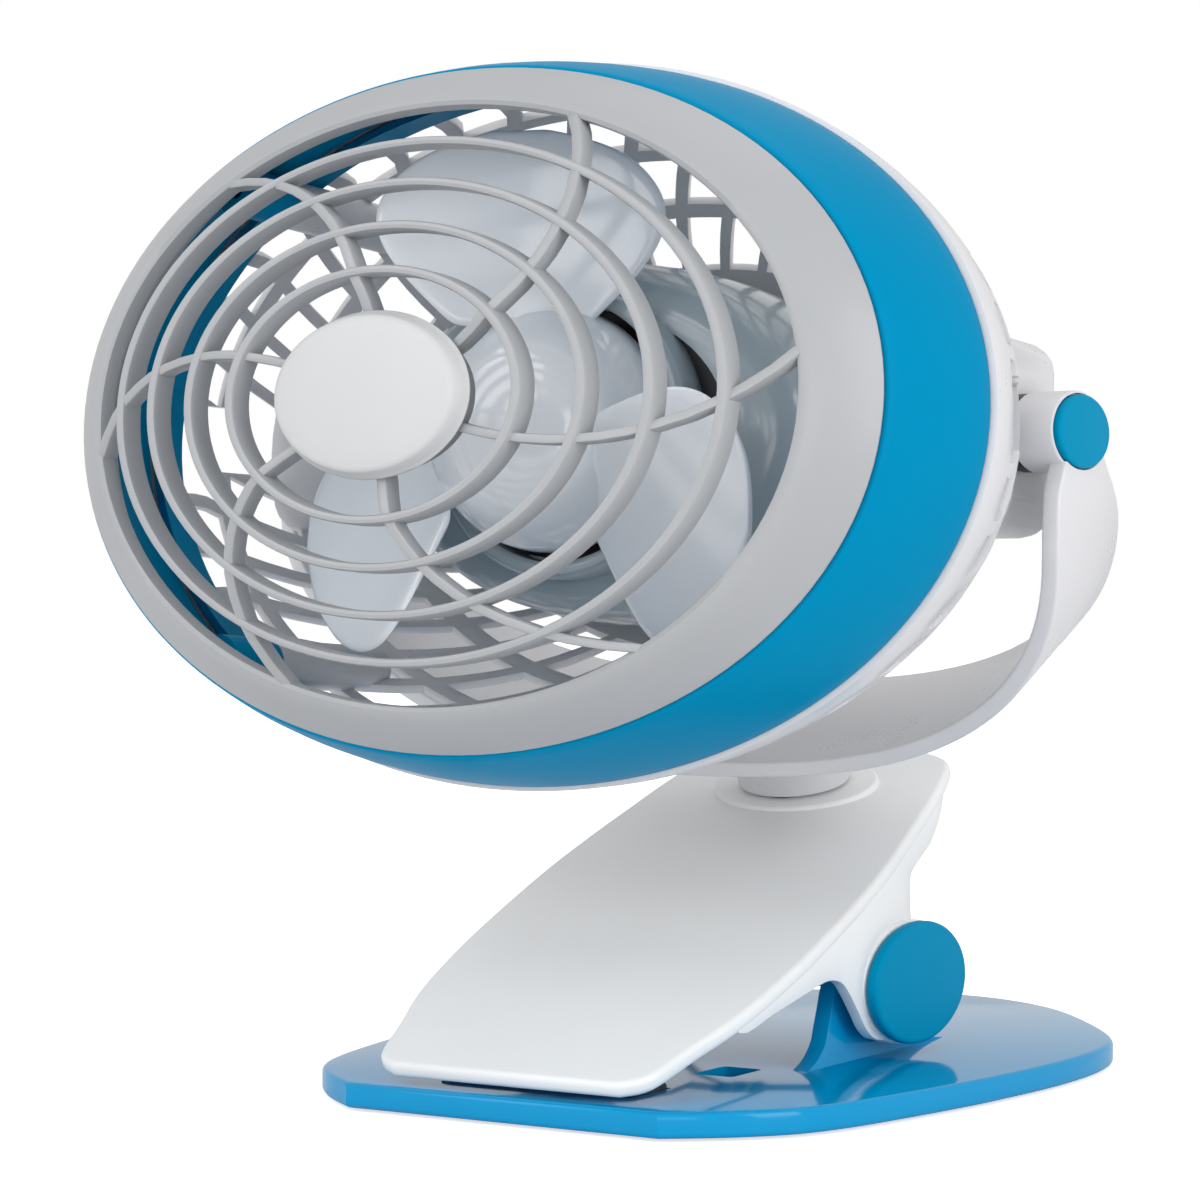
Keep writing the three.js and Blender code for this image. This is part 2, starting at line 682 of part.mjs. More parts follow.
// ---------------------------------------------------------------- switch and socket
function switchBody() {
  const front = HEAD.shell.rear + HEAD.wall + GAP;
  return cut(
    disc(BUTTON.radius + 2.4, front, front + 9, 1, 24),
    disc(BUTTON.radius - 2 + GAP, front - 1, front + 6, 1, 24),
  ).translate(0, 0, BUTTON.z);
}
function powerButton() {
  const rear = HEAD.shell.rear - BUTTON.proud;
  return join(
    turned([
      [0, rear], [BUTTON.radius - 0.8, rear], [BUTTON.radius, rear + 0.8],
      [BUTTON.radius, HEAD.shell.rear + 0.8], [0, HEAD.shell.rear + 0.8],
    ], 1, 24),
    disc(BUTTON.radius - 2, HEAD.shell.rear, HEAD.shell.rear + 6, 1, 24),
  ).translate(0, 0, BUTTON.z);
}
function dcSocket() {
  const rear = HEAD.shell.rear + 0.2;
  const sleeve = turned([
    [0, rear + 9], [SOCKET.bore, rear + 9], [SOCKET.bore, rear], [SOCKET.radius, rear],
    [SOCKET.radius, rear + HEAD.wall + GAP], [SOCKET.radius + 1.4, rear + HEAD.wall + GAP],
    [SOCKET.radius + 1.4, rear + SOCKET.length], [0, rear + SOCKET.length],
  ], 1, 20);
  return join(sleeve, disc(SOCKET.pin, rear + 2, rear + 10, 1, 10)).translate(0, 0, SOCKET.z);
}

// ---------------------------------------------------------------- tilt pivots and yoke
const onSide = (side, geometry) => (side < 0 ? mirrorX(geometry) : geometry);
const boreX = (from, to, margin = GAP) =>
  barX(PIVOT.screw.shaft + margin, from, to, [0, 0], 1, 16);
const tiltSpacer = (side) => {
  const { radius, oval } = PIVOT.spacer;
  return onSide(side, cut(barX(radius, ...PIVOT_AT.spacer, [0, 0], oval), boreX(0, BEYOND)));
};
const tiltScrew = (side) => {
  const [headFrom, headTo] = PIVOT_AT.screwHead;
  const tail = PIVOT_AT.seat - PIVOT.seat.thickness - PIVOT.nut.length - SHAFT.radius;
  return onSide(side, join(
    barX(PIVOT.screw.headRadius, headFrom, headTo, [0, 0], 1, 20),
    boreX(tail, headFrom + GAP, 0),
  ));
};
const tiltNut = (side) => {
  const to = PIVOT_AT.seat - PIVOT.seat.thickness - GAP;
  return onSide(side, cut(
    barX(PIVOT.nut.radius, to - PIVOT.nut.length, to, [0, 0], 1, 6),
    boreX(0, BEYOND, THREAD_GAP),
  ));
};
const tiltCap = (side) => {
  const { edge, radius, oval } = PIVOT.cap;
  const [from, to] = PIVOT_AT.cap;
  return onSide(side, join(
    barX(radius, from, to - edge, [0, 0], oval, 28),
    barX(radius - edge, to - 1.2 * edge, to, [0, 0], oval, 28),
    barX(PIVOT.screw.headRadius, PIVOT_AT.screwHead[1] + GAP, from + edge, [0, 0], 1, 20),
  ));
};

// The bow of the yoke seen from the front: half a rounded rectangle, open at the top.
function bowOutline() {
  const { halfWidth, reach, squareness, thickness, endRadius } = YOKE;
  const arc = (inset) =>
    Array.from({ length: 21 }, (_, i) => {
      const a = (Math.PI * i) / 20;
      const power = 2 / squareness;
      return [
        (halfWidth - inset) * Math.sign(Math.cos(a)) * Math.abs(Math.cos(a)) ** power,
        -(reach - inset) * Math.sin(a) ** power,
      ];
    });
  const inner = halfWidth - thickness;
  return [
    [halfWidth, endRadius], [inner, endRadius], ...arc(thickness), [-inner, endRadius],
    [-halfWidth, endRadius], ...arc(0).reverse(),
  ];
}

// The bow seen from the side: round ends on the tilt axis, wider towards the bottom.
function bowSide() {
  const { endRadius, front, rear } = YOKE;
  const end = Array.from({ length: 9 }, (_, i) => {
    const a = (Math.PI * i) / 8;
    return [endRadius * Math.cos(a), endRadius * Math.sin(a)];
  });
  return [...end, ...front, ...rear];
}

// Built upright about the tilt axis; the group it stands in leans it back.
function yoke() {
  const { hub, reach, thickness } = YOKE;
  const bow = common(frontal(bowOutline(), -BEYOND, BEYOND), sideways(bowSide(), -BEYOND, BEYOND));
  const level = (geometry) => geometry.rotateX(rad(-ARM_LEAN));
  const bosses = [1, -1].map((side) => {
    const { radius, oval } = PIVOT.boss;
    return level(onSide(side, barX(radius, ...PIVOT_AT.boss, [0, 0], oval, 28)));
  });
  const { cap, screw, recess } = PIVOT;
  const recesses = [1, -1].flatMap((side) => [
    onSide(side, barX(screw.headRadius + GAP, PIVOT_AT.screwHead[0] - GAP, BEYOND)),
    onSide(side, boreX(0, BEYOND)),
    level(onSide(side, barX(cap.radius + recess.margin, PIVOT_AT.floor, BEYOND, [0, 0],
      cap.oval, 28))),
  ]);
  const socket = barZ(hub.radius, NECK_AT.hub, thickness - reach, SWIVEL, hub.oval, 28);
  return cut(
    join(bow, socket, ...bosses),
    ...recesses,
    barZ(NECK.shaft + GAP, NECK_AT.hub - GAP, 0, SWIVEL, 1, 20),
    barZ(NECK.washer.radius + GAP, NECK_AT.seat, 0, SWIVEL),
  );
}

// ---------------------------------------------------------------- neck
const neckBore = (margin = GAP) => barZ(NECK.shaft + margin, -BEYOND, 0, SWIVEL, 1, 20);
const neckWasher = () => {
  const { radius, height } = NECK.washer;
  return cut(barZ(radius, NECK_AT.washer, NECK_AT.washer + height, SWIVEL), neckBore());
};
const neckScrew = () =>
  join(
    barZ(NECK.head, NECK_AT.screw, NECK_AT.screw + NECK.headHeight, SWIVEL),
    barZ(NECK.shaft, NECK_AT.nut - NECK.nut.tail, NECK_AT.screw + GAP, SWIVEL, 1, 20),
  );
const frictionRing = () => {
  const { radius, height, bore } = NECK.ring;
  return cut(
    barZ(radius, NECK_AT.ring - height, NECK_AT.ring, SWIVEL),
    barZ(bore, -BEYOND, 0, SWIVEL, 1, 20),
  );
};
const neckNut = () =>
  cut(
    barZ(NECK.nut.radius, NECK_AT.nut, NECK_AT.nut + NECK.nut.height, SWIVEL, 1, 6),
    neckBore(THREAD_GAP),
  );

// ---------------------------------------------------------------- clip
const [HINGE_Y, HINGE_Z] = HINGE.at;
const atHinge = (geometry) => geometry.translate(0, HINGE_Y, HINGE_Z);
const onSlope = (geometry) =>
  geometry
    .rotateX(rad(JAW.slope))
    .translate(0, JAW.anchor[0], JAW.anchor[1]);
const leant = (geometry) =>
  geometry.rotateX(rad(ARM_LEAN)).translate(0, 0, TILT_HEIGHT);

// The panel's outline, drawn in at its sides.
const panelOutline = (inset) => mirrored(JAW.outline.map(([x, y]) => [x - inset, y]), 10);

// The side walls: what a wall under the panel's edge keeps within the cheek's outline.
function cheeks(side) {
  const depth = HEAD.shell.radius; // deeper than the cheeks hang
  const wall = onSlope(cut(
    slab(panelOutline(GAP / 2), depth).translate(0, 0, -depth - JAW.edge),
    slab(panelOutline(CHEEK.wall), depth + GAP).translate(0, 0, -depth - JAW.edge),
  ));
  const outline = smooth(CHEEK.outline, 20);
  return common(wall, sideways(outline, side < 0 ? -BEYOND : 0, side < 0 ? 0 : BEYOND));
}

function upperJaw() {
  const panel = onSlope(
    slab(mirrored(JAW.outline, 16), JAW.thickness, JAW.edge).translate(0, 0, -JAW.thickness),
  );
  const { radius, oval, edge } = JAW.collar;
  const { collar: top, collarBottom } = NECK_AT;
  const collar = leant(join(
    barZ(radius, collarBottom, top - edge, SWIVEL, oval, 32),
    barZ(radius - edge, top - 2 * edge, top, SWIVEL, oval, 32),
  ));
  const neckHoles = [
    leant(neckBore()),
    leant(barZ(NECK.ring.radius + GAP, NECK_AT.recess, 0, SWIVEL, 1, 28)),
  ];
  const { boss, washer, pin } = HINGE;
  const seat = boss.to - washer.sunk - washer.thickness - GAP;
  const bosses = [1, -1].map((side) =>
    atHinge(onSide(side, barX(boss.radius, boss.from, boss.to, [0, 0], boss.oval, 32))));
  const bores = [1, -1].flatMap((side) => [
    atHinge(onSide(side, barX(pin + GAP, EAR.to, BEYOND, [0, 0], 1, 20))),
    atHinge(onSide(side, barX(washer.radius + washer.margin, seat, BEYOND))),
  ]);
  return cut(
    join(panel, collar, cheeks(1), cheeks(-1), ...bosses),
    ...neckHoles,
    ...bores,
  );
}

function lowerJaw() {
  const plate = slab(mirrored(BASE.outline, 21, BASE.tip), BASE.thickness, BASE.edge);
  const ears = [1, -1].map((side) =>
    sideways(
      smooth(EAR.outline, 17),
      side < 0 ? -EAR.to : EAR.from,
      side < 0 ? -EAR.from : EAR.to,
    ),
  );
  const { x, y, half } = BASE.slot;
  const slots = [1, -1].map((side) =>
    slab(superellipse(...half, 8, 8), 20).translate(side * x, y, -5),
  );
  const padPocket = slab(superellipse(PAD.width / 2 + GAP, PAD.depth / 2 + GAP, 8, 12), 5)
    .translate(0, PAD.y, BASE.thickness - 0.5);
  const footPockets = FOOT.places.map((at) => barZ(FOOT.radius + GAP, -1, FOOT.pocket, at));
  return cut(
    join(plate, ...ears),
    ...slots,
    padPocket,
    ...footPockets,
    barX(HINGE.pin + THREAD_GAP, -BEYOND, BEYOND, HINGE.at, 1, 20),
  );
}

const lowerPad = () =>
  slab(superellipse(PAD.width / 2, PAD.depth / 2, 8, 12), PAD.thickness, 0.3)
    .translate(0, PAD.y, BASE.thickness - 0.5 + GAP);
const upperPad = () =>
  onSlope(
    slab(superellipse(PAD.width / 2, PAD.depth / 2, 8, 12), PAD.thickness, 0.3).translate(
      0,
      (PAD.y + 8 - JAW.anchor[0]) / Math.cos(rad(JAW.slope)),
      -JAW.thickness - GAP - PAD.thickness,
    ),
  );
const foot = (at) => barZ(FOOT.radius, -FEET_PROUD, FOOT.pocket - GAP, at, 1, 24);
const hingeCap = (side) => {
  const { thickness, edge, radius, oval } = HINGE.cap;
  const from = HINGE.boss.to + GAP;
  const to = from + thickness;
  return atHinge(onSide(side, join(
    barX(radius, from, to - edge, [0, 0], oval, 28),
    barX(radius - edge, to - 1.2 * edge, to, [0, 0], oval, 28),
  )));
};
const hingeWasher = (side) => {
  const { sunk, thickness, radius } = HINGE.washer;
  const to = HINGE.boss.to - sunk;
  return atHinge(onSide(side, cut(
    barX(radius, to - thickness, to),
    barX(HINGE.pin + THREAD_GAP, 0, BEYOND, [0, 0], 1, 20),
  )));
};
const hingePin = () => {
  const half = HINGE.boss.to - HINGE.pinSunk;
  return atHinge(barX(HINGE.pin, -half, half, [0, 0], 1, 20));
};

// The clip's torsion spring: a coil round the pin with a leg under the panel and one on the base.
class SpringPath extends THREE.Curve {
  getPoint(t) {
    const { turns, coil, pitch, start, end, lowerLeg, upperLeg } = SPRING;
    const share = 0.12; // of the curve's parameter, for each leg
    const s = THREE.MathUtils.clamp((t - share) / (1 - 2 * share), 0, 1);
    const a = rad(start) + s * (turns * 2 * Math.PI + rad(end - start));
    const at = new THREE.Vector3((s - 0.5) * turns * pitch, coil * Math.cos(a), coil * Math.sin(a));
    const before = Math.min((t - share) / share, 0) * lowerLeg;
    const after = Math.max((t - 1 + share) / share, 0) * upperLeg;
    const tangent = new THREE.Vector3(0, -Math.sin(a), Math.cos(a));
    return at.addScaledVector(tangent, before + after);
  }
}
function hingeSpring() {
  const { wire } = SPRING;
  const section = new THREE.Shape(
    Array.from({ length: 6 }, (_, i) =>
      new THREE.Vector2(wire * Math.cos((i * Math.PI) / 3), wire * Math.sin((i * Math.PI) / 3)),
    ),
  );
  return new THREE.ExtrudeGeometry(section, {
    steps: 48,
    bevelEnabled: false,
    extrudePath: new SpringPath(),
  }).translate(0, HINGE_Y, HINGE_Z);
}

// ---------------------------------------------------------------- assembly
const fan = new THREE.Group();
const lifted = new THREE.Group();
lifted.position.z = FEET_PROUD;
fan.add(lifted);
const tilted = new THREE.Group();
tilted.position.z = TILT_HEIGHT;
tilted.rotation.x = rad(-HEAD_TILT);
const head = new THREE.Group();
head.position.z = -HEAD_DROP;
tilted.add(head);
const pivots = new THREE.Group();
pivots.position.z = TILT_HEIGHT;
const leaning = new THREE.Group();
leaning.position.z = TILT_HEIGHT;
leaning.rotation.x = rad(ARM_LEAN);
const clip = new THREE.Group();
lifted.add(tilted, pivots, leaning, clip);

const place = (group, name, geometry, finish) => {
  const mesh = new THREE.Mesh(geometry, finish);
  mesh.name = name;
  group.add(mesh);
};

place(head, "front_grille", frontGrille(), GRILLE_WHITE);
place(head, "grille_cap", grilleCap(), WHITE);
place(head, "centre_band", centreBand(), BLUE);
place(head, "rear_shell", rearShell(), WHITE);
place(head, "motor_pod", motorPod(), SMOKE);
place(head, "motor_mount", motorMount(), BLACK);
place(head, "motor_can", motorCan(), STEEL);
place(head, "motor_end_cap", motorEndCap(), BLACK);
place(head, "armature", armature(), BRASS);
place(head, "motor_shaft", disc(SHAFT.radius, SHAFT.rear, SHAFT.front, 1, 16), STEEL);
place(head, "bearing_front", bearing(MOTOR.front - BEARING.length - 0.4), BRASS);
place(head, "bearing_rear", bearing(MOTOR.rear - 1.9), BRASS);
place(head, "fan_rotor", fanRotor(), BLADE);
place(head, "switch_body", switchBody(), BLACK);
place(head, "power_button", powerButton(), BLUE);
place(head, "dc_socket", dcSocket(), BLACK);
towerSpots.forEach((at, i) =>
  place(head, `case_screw_${i + 1}`,
    panScrew(TOWER.headSeat - GAP - SCREW.headHeight, SCREW.length, at), STEEL));
motorScrewSpots.forEach((at, i) =>
  place(head, `motor_screw_${i + 1}`, motorScrew(at), STEEL));
for (const [side, hand] of [[1, "right"], [-1, "left"]]) {
  place(tilted, `tilt_nut_${hand}`, tiltNut(side), BRASS);
  place(tilted, `tilt_spacer_${hand}`, tiltSpacer(side), BLACK);
  place(pivots, `tilt_screw_${hand}`, tiltScrew(side), STEEL);
  place(pivots, `tilt_cap_${hand}`, tiltCap(side), BLUE);
  place(clip, `hinge_cap_${hand}`, hingeCap(side), BLUE);
  place(clip, `hinge_washer_${hand}`, hingeWasher(side), STEEL);
}
place(leaning, "yoke", yoke(), WHITE);
place(leaning, "neck_washer", neckWasher(), STEEL);
place(leaning, "neck_screw", neckScrew(), STEEL);
place(leaning, "friction_ring", frictionRing(), BLACK);
place(leaning, "neck_nut", neckNut(), STEEL);
place(clip, "upper_jaw", upperJaw(), WHITE);
place(clip, "upper_pad", upperPad(), RUBBER);
place(clip, "hinge_pin", hingePin(), STEEL);
place(clip, "hinge_spring", hingeSpring(), STEEL);
place(clip, "lower_jaw", lowerJaw(), BLUE);
place(clip, "lower_pad", lowerPad(), RUBBER);
FOOT.places.forEach((at, i) => place(clip, `foot_${i + 1}`, foot(at), RUBBER));

// A screw that holds the motor's mount to the can, its head in front.
function motorScrew(at) {
  return join(
    post(SCREW.head, MOUNT.front + GAP, MOUNT.front + GAP + 1.8, at),
    post(SCREW.shaft, MOTOR.front - 4.5, MOUNT.front + 1, at, 12),
  );
}

export default fan;
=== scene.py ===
"""The clip fan's looks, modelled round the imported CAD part.

Lengths are written in millimetres and turned into Blender's metres by MM. X runs along the tilt axis,
the fan blows towards -Y, and Z = 0 is the underside of the feet. The head's pieces are modelled about
the fan's own axis, where a forward distance is one towards -Y, and the yoke's about the tilt axis with
the neck upright. Each is then turned to its place."""

import math

import bmesh
import bpy
from mathutils import Matrix, Vector


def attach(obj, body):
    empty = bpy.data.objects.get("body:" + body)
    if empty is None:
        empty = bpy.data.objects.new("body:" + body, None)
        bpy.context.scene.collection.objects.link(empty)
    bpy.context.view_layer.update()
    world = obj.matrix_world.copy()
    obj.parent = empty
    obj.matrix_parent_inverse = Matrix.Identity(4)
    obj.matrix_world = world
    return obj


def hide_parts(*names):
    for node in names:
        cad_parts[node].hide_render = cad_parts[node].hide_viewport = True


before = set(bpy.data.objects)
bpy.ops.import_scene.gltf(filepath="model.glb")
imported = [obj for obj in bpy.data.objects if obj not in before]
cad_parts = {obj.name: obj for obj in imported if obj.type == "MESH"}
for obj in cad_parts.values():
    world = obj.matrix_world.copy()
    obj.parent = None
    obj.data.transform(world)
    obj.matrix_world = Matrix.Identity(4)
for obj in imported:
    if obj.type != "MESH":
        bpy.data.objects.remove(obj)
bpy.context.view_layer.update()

MM = 0.001
FULL_TURN = 2 * math.pi
QUARTER_TURN = math.pi / 2
FEET = 0.6  # the base stands this high on its rubber feet
TILT_HEIGHT = 133.6 + FEET
HEAD_DROP = 1.8  # the fan's own axis runs this far below the tilt axis
HEAD_TILT = math.radians(-3.5)  # the head looks up a little
ARM_LEAN = math.radians(25)  # the yoke and its neck lean back
JAW_SLOPE = math.radians(22.6)
OVAL = 1.4  # the head's width over its height
HINGE = (31, 20.5 + FEET)  # the clip hinge's Y and Z
SIDES = ((1, "right"), (-1, "left"))
SCREW_HOLE = 2.3


# ---------------------------------------------------------------- camera
VIEW_TURN = math.radians(32)
VIEW_TARGET = Vector((-11.9, -7.4, 100.9 + FEET))
VIEW_DISTANCE = 680
LENS, SENSOR = 97.4, 36
NEAREST = 10


def set_camera():
    """A level camera, turned to the fan's left."""
    back = Vector((math.sin(VIEW_TURN), -math.cos(VIEW_TURN), 0))
    camera = bpy.data.objects.new("camera", bpy.data.cameras.new("camera"))
    camera.data.lens, camera.data.sensor_width = LENS, SENSOR
    camera.data.clip_start = NEAREST * MM
    camera.location = (VIEW_TARGET + VIEW_DISTANCE * back) * MM
    camera.rotation_euler = (QUARTER_TURN, 0, VIEW_TURN)
    bpy.context.scene.collection.objects.link(camera)
    bpy.context.scene.camera = camera


set_camera()


# ---------------------------------------------------------------- shader building
class Value:
    """A number that varies over a surface. Arithmetic on it adds the Math nodes."""

    def __init__(self, finish, socket):
        self.finish, self.socket = finish, socket

    def maths(self, operation, *values):
        return self.finish.add("ShaderNodeMath", {"operation": operation}, dict(enumerate(values)))

    def __add__(self, other):
        return self.maths("ADD", self, other)

    def __sub__(self, other):
        return self.maths("SUBTRACT", self, other)

    def __rsub__(self, other):
        return self.maths("SUBTRACT", other, self)

    def __mul__(self, other):
        return self.maths("MULTIPLY", self, other)

    __radd__, __rmul__ = __add__, __mul__


class Finish:
    """One material: a Principled shader and the nodes that vary it."""

    def __init__(self, name, **constants):
        self.material = bpy.data.materials.new(name)
        self.material.use_nodes = True
        self.tree = self.material.node_tree
        self.shader = self.tree.nodes["Principled BSDF"]
        for name, value in constants.items():
            socket = name.replace("_", " ").title().replace("Ior", "IOR")
            self.shader.inputs[socket].default_value = value
        self.place = self.add("ShaderNodeTexCoord", {}, {}, "Object")

    def add(self, kind, settings, inputs, output=0):
        """Adds any node: its settings first, then the values or links of its sockets."""
        node = self.tree.nodes.new(kind)
        for key, value in settings.items():
            setattr(node, key, value)
        for key, value in inputs.items():
            if isinstance(value, Value):
                self.tree.links.new(value.socket, node.inputs[key])
            else:
                node.inputs[key].default_value = value
        return Value(self, node.outputs[output])

    def feed(self, socket, value):
        self.tree.links.new(value.socket, self.shader.inputs[socket])

    def noise(self, per_metre, detail=2, stretch=(1, 1, 1)):
        """Soft mottling with so many cells in a metre, from 0 to 1."""
        place = self.place
        if stretch != (1, 1, 1):
            place = self.add("ShaderNodeMapping", {}, {"Vector": self.place, "Scale": stretch})
        inputs = {"Vector": place, "Scale": per_metre, "Detail": detail}
        return self.add("ShaderNodeTexNoise", {}, inputs, "Fac")

    def between(self, share, first, second):
        """A colour that goes from the first to the second as the share goes from 0 to 1."""
        return self.add(
            "ShaderNodeMix", {"data_type": "RGBA"}, {0: share, 6: (*first, 1), 7: (*second, 1)}, 2
        )

    def relief(self, height, depth):
        """Lifts the surface by so many metres where the height is 1."""
        return self.add("ShaderNodeBump", {}, {"Strength": 1, "Distance": depth, "Height": height})


def shade(colour, share):
    return tuple(min(channel * share, 1) for channel in colour)


FLOW_CLOUDS, GLOSS_PATCHES, SINK_MARKS = 22, 60, 90  # cells in a metre
PATCH_GLOSS, SKIN_GLOSS = 0.12, 0.06  # how far the patches and the skin move the roughness
COAT_ROUGHNESS = 0.08


def moulded_plastic(name, colour, roughness, coat=0.0, grain=1400, depth=4e-6, cloud=0.05, **more):
    """Injection-moulded plastic: faint flow clouds, a fine skin texture and uneven gloss."""
    finish = Finish(name, roughness=roughness, coat_weight=coat, coat_roughness=COAT_ROUGHNESS, **more)
    clouds = finish.noise(FLOW_CLOUDS, 3)
    skin = finish.noise(grain, 2)
    patches = finish.noise(GLOSS_PATCHES, 4)
    sinks = finish.noise(SINK_MARKS, 1)
    finish.feed("Base Color", finish.between(clouds, shade(colour, 1 - cloud), shade(colour, 1 + cloud)))
    finish.feed("Roughness", roughness + (patches - 0.5) * PATCH_GLOSS + (skin - 0.5) * SKIN_GLOSS)
    finish.feed("Normal", finish.relief(skin + sinks * 2, depth))
    return finish.material


DRAWN_LINES, STAINS = 900, 120  # cells in a metre
LINE_GLOSS, LINE_DEPTH = 0.25, 6e-6


def metal(name, colour, roughness, stretch=(1, 1, 1), **more):
    """Bright metal with fine drawn lines and small stains."""
    finish = Finish(name, metallic=1.0, roughness=roughness, **more)
    lines = finish.noise(DRAWN_LINES, 3, stretch)
    stains = finish.noise(STAINS, 4)
    finish.feed("Base Color", finish.between(stains, shade(colour, 0.8), shade(colour, 1.08)))
    finish.feed("Roughness", roughness + (lines - 0.5) * LINE_GLOSS)
    finish.feed("Normal", finish.relief(lines, LINE_DEPTH))
    return finish.material


PEBBLES, RUBBED_PATCHES = 900, 150  # cells in a metre
PEBBLE_DEPTH = 4e-5


def rubber(name, colour):
    """Dull rubber with a pebbled skin, paler where it has rubbed."""
    finish = Finish(name, roughness=0.85)
    inputs = {"Vector": finish.place, "Scale": PEBBLES}
    pebbles = finish.add("ShaderNodeTexVoronoi", {}, inputs, "Distance")
    rubbed = finish.noise(RUBBED_PATCHES, 4)
    finish.feed("Base Color", finish.between(rubbed, colour, shade(colour, 2.2)))
    finish.feed("Roughness", 0.75 + pebbles * 0.2)
    finish.feed("Normal", finish.relief(pebbles, PEBBLE_DEPTH))
    return finish.material


GRILLE_GREY = moulded_plastic("grille_plastic", (0.37, 0.38, 0.395), 0.40, coat=0.05)
CAP_WHITE = moulded_plastic("grille_cap_plastic", (0.55, 0.555, 0.565), 0.5, grain=900, depth=1.2e-5)
WHITE = moulded_plastic("white_plastic", (0.66, 0.66, 0.68), 0.30, coat=0.15)
JAW_WHITE = moulded_plastic("jaw_plastic", (0.80, 0.81, 0.81), 0.42, grain=1100, depth=8e-6)
BLUE = moulded_plastic("band_plastic", (0.0, 0.23, 0.43), 0.34, specular_ior_level=0.02)
CAP_BLUE = moulded_plastic("cover_plastic", (0.0, 0.245, 0.43), 0.40, specular_ior_level=0.02)
BASE_BLUE = moulded_plastic(
    "base_plastic", (0.0, 0.28, 0.56), 0.10, coat=0.4, specular_ior_level=0.05
)
BLADE = moulded_plastic("blade_plastic", (0.88, 0.92, 0.97), 0.12, coat=0.6, cloud=0.02)
SMOKE = moulded_plastic("smoke_plastic", (0.40, 0.47, 0.51), 0.2, coat=0.4)
BLACK = moulded_plastic("black_plastic", (0.012, 0.013, 0.015), 0.4, depth=8e-6)
RUBBER = rubber("dark_rubber", (0.02, 0.02, 0.022))
STEEL = metal("plated_steel", (0.55, 0.56, 0.58), 0.28, (1, 12, 12))
BRASS = metal("turned_brass", (0.62, 0.42, 0.15), 0.3, (12, 1, 12))
COPPER = metal("copper_winding", (0.50, 0.19, 0.07), 0.35, (1, 1, 14))


# ---------------------------------------------------------------- modelling by hand
MERGE = 0.02  # vertices nearer than this are one
FACING = 0.9  # share of a face's normal along an axis that it counts as facing


def take(piece):
    """Makes a piece the only one chosen, and the one that operators act on."""
    bpy.ops.object.select_all(action="DESELECT")
    piece.select_set(True)
    bpy.context.view_layer.objects.active = piece


def begin_at(point):
    """Starts a mesh as a small plane drawn together to one vertex, in edit mode."""
    bpy.ops.object.select_all(action="DESELECT")
    bpy.ops.mesh.primitive_plane_add(size=MM, location=Vector(point) * MM)
    place_in_mesh()
    bpy.ops.object.mode_set(mode="EDIT")
    bpy.ops.mesh.select_mode(type="VERT")
    bpy.ops.mesh.merge(type="CENTER")


def grow(points):
    """Extrudes the chosen vertex from point to point."""
    for start, end in zip(points, points[1:]):
        step = (Vector(end) - Vector(start)) * MM
        bpy.ops.mesh.extrude_region_move(TRANSFORM_OT_translate={"value": step})


def outline(points):
    """A closed flat face through the points."""
    begin_at(points[0])
    grow(points)
    bpy.ops.mesh.select_all(action="SELECT")
    bpy.ops.mesh.edge_face_add()


def mend():
    bpy.ops.mesh.select_all(action="SELECT")
    bpy.ops.mesh.remove_doubles(threshold=MERGE * MM)
    bpy.ops.mesh.normals_make_consistent(inside=False)


def spun(profile, steps=96, closed=False, oval=OVAL):
    """A profile of (radius, forward) points spun round the head's axis and widened to an oval."""
    points = [(r, -h, 0) for r, h in profile]
    begin_at(points[0])
    grow(points + points[:1] if closed else points)
    bpy.ops.mesh.select_all(action="SELECT")
    bpy.ops.mesh.spin(steps=steps, angle=FULL_TURN, center=(0, 0, 0), axis=(0, 1, 0))
    mend()
    if oval != 1:
        bpy.ops.transform.resize(value=(oval, 1, 1), center_override=(0, 0, 0))


def extrude_along(step):
    """Pushes the chosen face out by a step and closes what it leaves behind."""
    bpy.ops.mesh.extrude_region_move(TRANSFORM_OT_translate={"value": Vector(step) * MM})
    mend()


def choose(test, kind="VERT"):
    """Chooses vertices or faces of the mesh in hand by their place in millimetres."""
    bpy.ops.mesh.select_mode(type=kind)
    bpy.ops.mesh.select_all(action="DESELECT")
    mesh = bmesh.from_edit_mesh(bpy.context.object.data)
    if kind == "VERT":
        for vertex in mesh.verts:
            vertex.select_set(test(vertex.co / MM))
    else:
        for face in mesh.faces:
            face.select_set(test(face.calc_center_median() / MM, face.normal))
    mesh.select_flush_mode()
    bmesh.update_edit_mesh(bpy.context.object.data)


def place_in_mesh():
    """Puts the object's place, turn and scale into its mesh."""
    bpy.ops.object.transform_apply(location=True, rotation=True, scale=True)


def done():
    """Leaves edit mode and hands back the object."""
    if bpy.context.object.mode == "EDIT":
        bpy.ops.object.mode_set(mode="OBJECT")
    return bpy.context.object


def modifier(piece, kind, **settings):
    """Adds a modifier with its settings and applies it."""
    take(piece)
    added = piece.modifiers.new(kind.lower(), kind)
    for key, value in settings.items():
        setattr(added, key, value)
    bpy.ops.object.modifier_apply(modifier=added.name)
    return piece


def soften(piece, width, segments=2, angle=32):
    """Rounds the sharp edges as a mould does."""
    return modifier(
        piece, "BEVEL", width=width * MM, segments=segments, limit_method="ANGLE",
        angle_limit=math.radians(angle), harden_normals=False,
    )


def carve(piece, tool, operation="DIFFERENCE"):
    """Cuts one piece with another, or joins them, and throws the tool away."""
    modifier(piece, "BOOLEAN", object=tool, operation=operation, solver="EXACT")
    bpy.data.objects.remove(tool)
    return piece


